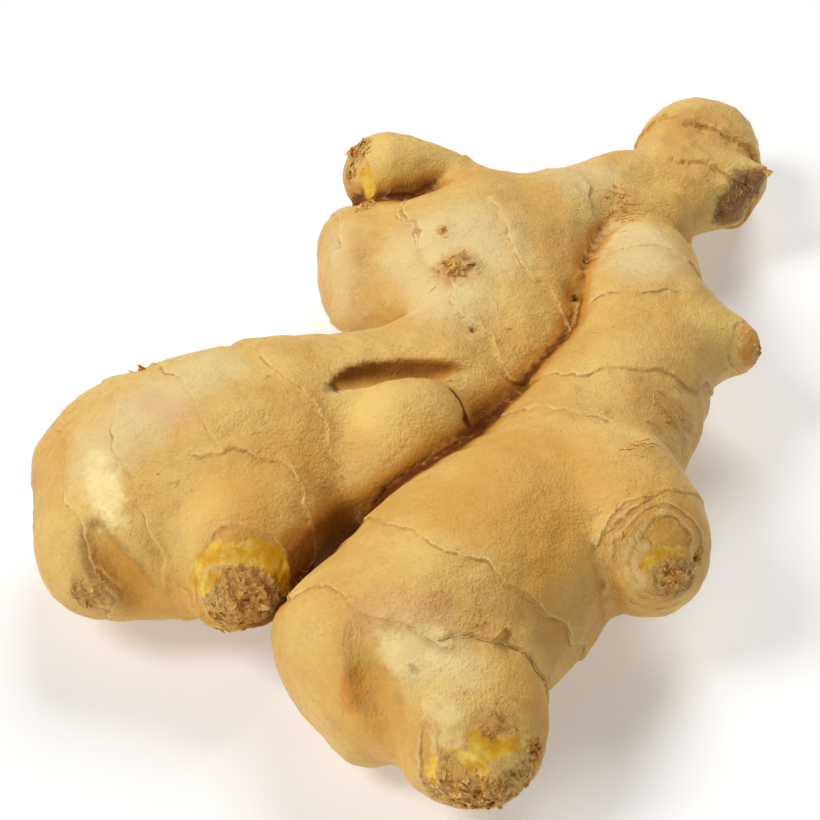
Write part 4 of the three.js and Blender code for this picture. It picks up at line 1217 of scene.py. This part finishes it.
# Where the scales are: place, the way the tip faces, from and to how far away, how
# many, their length, their lift in degrees, and the share that points outward.
TIP_SCALES = [
    ((-27.6, -50.9, 20), (-0.05, -0.92, 0.38), 0.8, 3.2, 40, 1.2, 14, 0.3),     # left bud's eye
    ((-28.9, -51.2, 16.5), (-0.05, -0.92, 0.38), 0, 4.6, 50, 1.1, 12, 0),       # under it
    ((-51.9, -45.2, 15.4), (-0.1, -0.95, 0.3), 0, 3.0, 30, 0.9, 16, 0),         # left finger's eye
    ((8.3, -84.6, 14.6), (0.05, -0.9, 0.2), 0, 5.0, 100, 1.2, 15, 0.3),         # front bud's eye
    ((3.2, -83, 15.6), (-0.4, -0.9, 0.2), 0, 2.6, 30, 1.0, 14, 0.3),            # left of it
    ((10, -79.4, 24.6), (0.05, -0.7, 0.7), 0, 2.6, 34, 0.8, 14, 0.4),           # above it
    ((16, -79.2, 18.6), (0.5, -0.7, 0.4), 0, 2.2, 26, 1.1, 26, 0.3),            # right of it
    ((38.2, -49.2, 23.4), (0.33, -0.82, 0.48), 0, 2.8, 50, 1.2, 18, 0.2),       # right bud's eye
    ((43, -45.5, 23.6), (0.6, -0.6, 0.4), 0.3, 2.2, 22, 1.0, 20, 0),            # hole beside it
    ((-10.4, 50.9, 30.3), (-0.6, -0.2, 0.7), 0, 3.2, 40, 1.1, 20, 0.3),         # back bud, above
    ((-12.2, 47, 28), (-0.78, -0.48, 0.4), 0, 2.2, 20, 1.0, 16, 0.3),           # back bud's eye
    ((-9.8, 38.8, 26.2), (-0.5, -0.6, 0.2), 0, 2.2, 26, 1.0, 26, 0),            # below the back bud
    ((56.4, 9.3, 18.6), (0.84, -0.44, 0.3), 0.4, 2.6, 14, 0.7, 8, 0),           # side nub
    ((34.5, 42.4, 22.8), (0, -0.3, 1), 0, 4.4, 16, 1.0, 10, 0.5),               # crotch of the neck
    ((-45.6, -8.4, 29.6), (0, 0, 1), 0, 1.4, 3, 1.6, 30, 0.5),                  # back of the left finger
]
# The torn rims of the two root stubs, on the broad block.
STUB_SCALES = [
    ((6, 17.4, 30.6), (0, 0, 1), 0.2, 2.2, 26, 1.5, 22, 0.5),
    ((4.4, 17.4, 30.4), (0, 0, 1), 1.4, 3.2, 9, 1.3, 8, 1.0),
    ((3.4, 25.6, 31.2), (0, 0, 1), 0, 1.4, 7, 0.9, 12, 0.5),
]
# Single scales: place, the way it points, width, length, lift in degrees, curl.
SHEATH_PEAK = ((11.8, -66.2, 28.2), (-0.1, 0.8, 0.2), 2.4, 2.2, 30, 0.4)
HEAD_SPIKE = ((61.2, 58.4, 18.6), (0.7, 0.1, 0.5), 1.6, 1.8, 32, 0.3)

rng = np.random.default_rng(HUSK_SEED)
tips = [scale for row in TIP_SCALES for scale in scatter_plates(*row, rng)]
tips.append(plate_at(*SHEATH_PEAK, rng))
husk_scales = solid_from("husk_scales", *fused(tips), PLATE_SHARP)
stubs = [scale for row in STUB_SCALES for scale in scatter_plates(*row, rng)]
stubs.append(plate_at(*HEAD_SPIKE, rng))
root_stubs = solid_from("root_stubs", *fused(stubs), PLATE_SHARP)

dry = Recipe("dry_husk")
fibre = dry.noise(0.5, 3, 0.65)
tone = dry.mix(dry.between(dry.noise(3, 3, 0.6), 0.38, 0.62), HUSK_BROWN, HUSK_PALE)
tone = dry.layers(
    tone,
    (fibre, 0.54, 0.7, 0.35, HUSK_DARK),
    (dry.noise(1.4, 2), 0.6, 0.72, 0.45, HUSK_DARK))
dry.feed(dry.shader.inputs["Base Color"], tone)
dry.shader.inputs["Roughness"].default_value = 0.7
dry.shader.inputs["Specular IOR Level"].default_value = 0.15
dry.feed(dry.shader.inputs["Normal"], dry.bump(fibre, 0.2, 0.8))
for piece in (husk_scales, root_stubs):
    piece.data.materials.append(dry.material)
    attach(piece, "root")

# ---------------------------------------------------------------- the fibres
# Hair-fine fibres of the dead leaf sheaths that still cling to the skin round
# the buds. Each is a closed thread, tapered to both ends, that lies on the skin.
THREAD_STEP = 0.35              # spacing along a thread, millimetres
THINNEST, THICKEST = 0.03, 0.065  # radius of a thread, millimetres
WANDER = 0.22                   # how much a thread turns at each step
DISORDER = 0.45                 # how much its way differs from its neighbours'
FIBRE_SEED = 5
# Where they lie: place, the way they run, spread, how many, length.
FIBRES = [
    ((39.5, -15, 26.5), (0.7, -0.2, -0.5), 4.5, 34, 3.5),       # right flank of the right finger
    ((32.5, -31, 34), (1, -0.1, 0), 2.5, 16, 3),                # behind the right bud
    ((8, -64.3, 30.3), (0, 1, 0.2), 2.2, 8, 1.8),               # behind the front bud
    ((3, 17.5, 30.5), (-1, 0.1, -0.1), 2.4, 22, 2.8),           # the larger root stub
    ((7.4, 14.2, 29.6), (0.4, -0.9, -0.2), 1.4, 5, 2.6),        # the dent beside it
    ((34.5, 42, 23), (1, 0.1, -0.2), 4.5, 40, 3),               # crotch of the neck
    ((-24.9, -15.4, 34.1), (1, 0.5, 0), 1, 4, 1.6),             # top of the left finger
    ((13.4, 4.4, 28.2), (0.4, -0.9, -0.2), 1.2, 3, 2.4),        # front of the block
    ((10, -79, 25), (1, 0, -0.2), 3, 26, 1.4),                  # front bud, above
    ((31, -45, 29), (0.3, -0.8, -0.5), 3, 18, 3),               # right bud, above
    ((38, -49.3, 23.5), (0.6, 0.4, 0.6), 2.4, 24, 1.8),         # right bud's eye
    ((7.5, -84.6, 14), (1, 0, 0.1), 4.5, 34, 2),                # front bud's eye
    ((-27.5, -50.8, 19.5), (0.6, 0.2, 0.7), 3.6, 34, 1.6),      # left bud's eye
    ((-28, -50.5, 15.5), (1, -0.2, 0), 4.5, 26, 2.6),           # under it
    ((57.2, 54.4, 16.4), (-0.1, -0.3, -0.9), 3.4, 22, 3),       # the broken face of the head
    ((-10.6, 49.6, 30.2), (-0.4, -0.3, -0.4), 2.6, 18, 1.8),    # back bud
    ((-20, -46, 21), (0.2, -0.3, -0.8), 2.4, 10, 2.4),          # right flank of the left bud
]

skin_tree = BVHTree.FromPolygons(skin_points.tolist(), skin_faces.tolist())


def thread(start, way, length, radius, rng):
    """A fibre laid on the skin from a place, that wanders as it goes."""
    here, heading = np.array(start, float), unit(way)
    line, ups = [], []
    for _ in range(max(5, int(length / THREAD_STEP))):
        spot, up, _, _ = skin_tree.find_nearest(Vector(here))
        spot, up = np.array(spot), np.array(up)
        line.append(spot + up * radius * rng.uniform(0.2, 1.6))
        ups.append(up)
        heading = heading + WANDER * rng.normal(size=3)
        heading = unit(heading - (heading @ up) * up)
        here = spot + THREAD_STEP * heading
    line, ups = np.array(line), np.array(ups)
    along = np.gradient(line, axis=0)
    side = np.cross(along, ups)
    side = side / np.maximum(np.linalg.norm(side, axis=1, keepdims=True), 1e-9)
    taper = radius * np.sin(np.linspace(0.25, math.pi - 0.25, len(line)))[:, None]
    sections = [line + side * taper, line + ups * taper, line - side * taper, line - ups * taper]
    return lofted(np.stack(sections, axis=1))


rng = np.random.default_rng(FIBRE_SEED)
threads = []
for place, way, spread, count, length in FIBRES:
    for _ in range(count):
        start = np.array(place) + spread * rng.normal(size=3) * 0.5
        turned = unit(way) + DISORDER * rng.normal(size=3)
        reach = length * rng.uniform(0.5, 1.4)
        threads.append(thread(start, turned, reach, rng.uniform(THINNEST, THICKEST), rng))
fibres = solid_from("sheath_fibres", *fused(threads))

sheath = Recipe("dry_sheath_fibre")
tone = sheath.mix(sheath.between(sheath.noise(2.5, 3), 0.4, 0.6), PAPER_PALE, HUSK_BROWN)
sheath.feed(sheath.shader.inputs["Base Color"], tone)
sheath.shader.inputs["Roughness"].default_value = 0.6
sheath.feed(sheath.shader.inputs["Normal"], sheath.bump(sheath.noise(0.3, 2), 0.04, 0.5))
fibres.data.materials.append(sheath.material)
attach(fibres, "root")

# ---------------------------------------------------------------- table and light
# A plain pale table, matt and a little lit from within so that it stays white,
# under a warm studio sky and three round soft lamps: high left, front and behind.
TABLE_HALF = 3.0                # metres
TABLE_GREY = (0.72, 0.72, 0.72, 1)
TABLE_GLOW = 0.3

corners = [(TABLE_HALF * x, TABLE_HALF * y, 0) for x, y in ((-1, -1), (1, -1), (1, 1), (-1, 1))]
floor_mesh = bpy.data.meshes.new("table")
floor_mesh.from_pydata(corners, [], [(0, 1, 2, 3)])
floor = bpy.data.objects.new("table", floor_mesh)
bpy.context.scene.collection.objects.link(floor)
white = Recipe("white_table")
white.shader.inputs["Base Color"].default_value = TABLE_GREY
white.shader.inputs["Roughness"].default_value = 0.6
white.shader.inputs["Emission Color"].default_value = (1, 1, 1, 1)
white.shader.inputs["Emission Strength"].default_value = TABLE_GLOW
floor.data.materials.append(white.material)

SKY_COLOUR = (1, 0.92, 0.78, 1)
SKY_STRENGTH = 0.14

world = bpy.data.worlds.new("studio")
bpy.context.scene.world = world
world.use_nodes = True
sky = world.node_tree.nodes["Background"]
sky.inputs["Color"].default_value = SKY_COLOUR
sky.inputs["Strength"].default_value = SKY_STRENGTH

# Lamps, all turned to the hand: place and width in metres, watts.
LAMPS = {
    "key_light": ((-1.5, -0.35, 1.7), 1.0, 31.5),
    "fill_light": ((-1.0, -2.0, 1.0), 1.25, 8),
    "back_light": ((0.35, 1.38, 1.75), 1.25, 26),
}
for name, (place, width, power) in LAMPS.items():
    light = bpy.data.lights.new(name, "AREA")
    light.shape = "DISK"
    light.size = width
    light.energy = power
    holder = bpy.data.objects.new(name, light)
    bpy.context.scene.collection.objects.link(holder)
    holder.location = place
    holder.rotation_euler = (-Vector(place)).to_track_quat("-Z", "Y").to_euler()

# ---------------------------------------------------------------- camera
# It looks down at the hand from the front, from about half a metre away, so that
# the near buds show over a quarter larger than the head at the back.
ELEVATION = 42                  # degrees above the table
CAMERA_PLACE = (-0.002, -0.36071, 0.33818)  # metres
SENSOR = 36                     # millimetres
PICTURE = 820                   # pixels
FOCAL_LENGTH = 2909.09          # pixels

view = bpy.data.cameras.new("camera")
view.sensor_width = SENSOR
view.lens = SENSOR * FOCAL_LENGTH / PICTURE
camera = bpy.data.objects.new("camera", view)
bpy.context.scene.collection.objects.link(camera)
camera.location = CAMERA_PLACE
camera.rotation_euler = (math.radians(90 - ELEVATION), 0, 0)
bpy.context.scene.camera = camera
bpy.context.scene.view_settings.view_transform = "Standard"
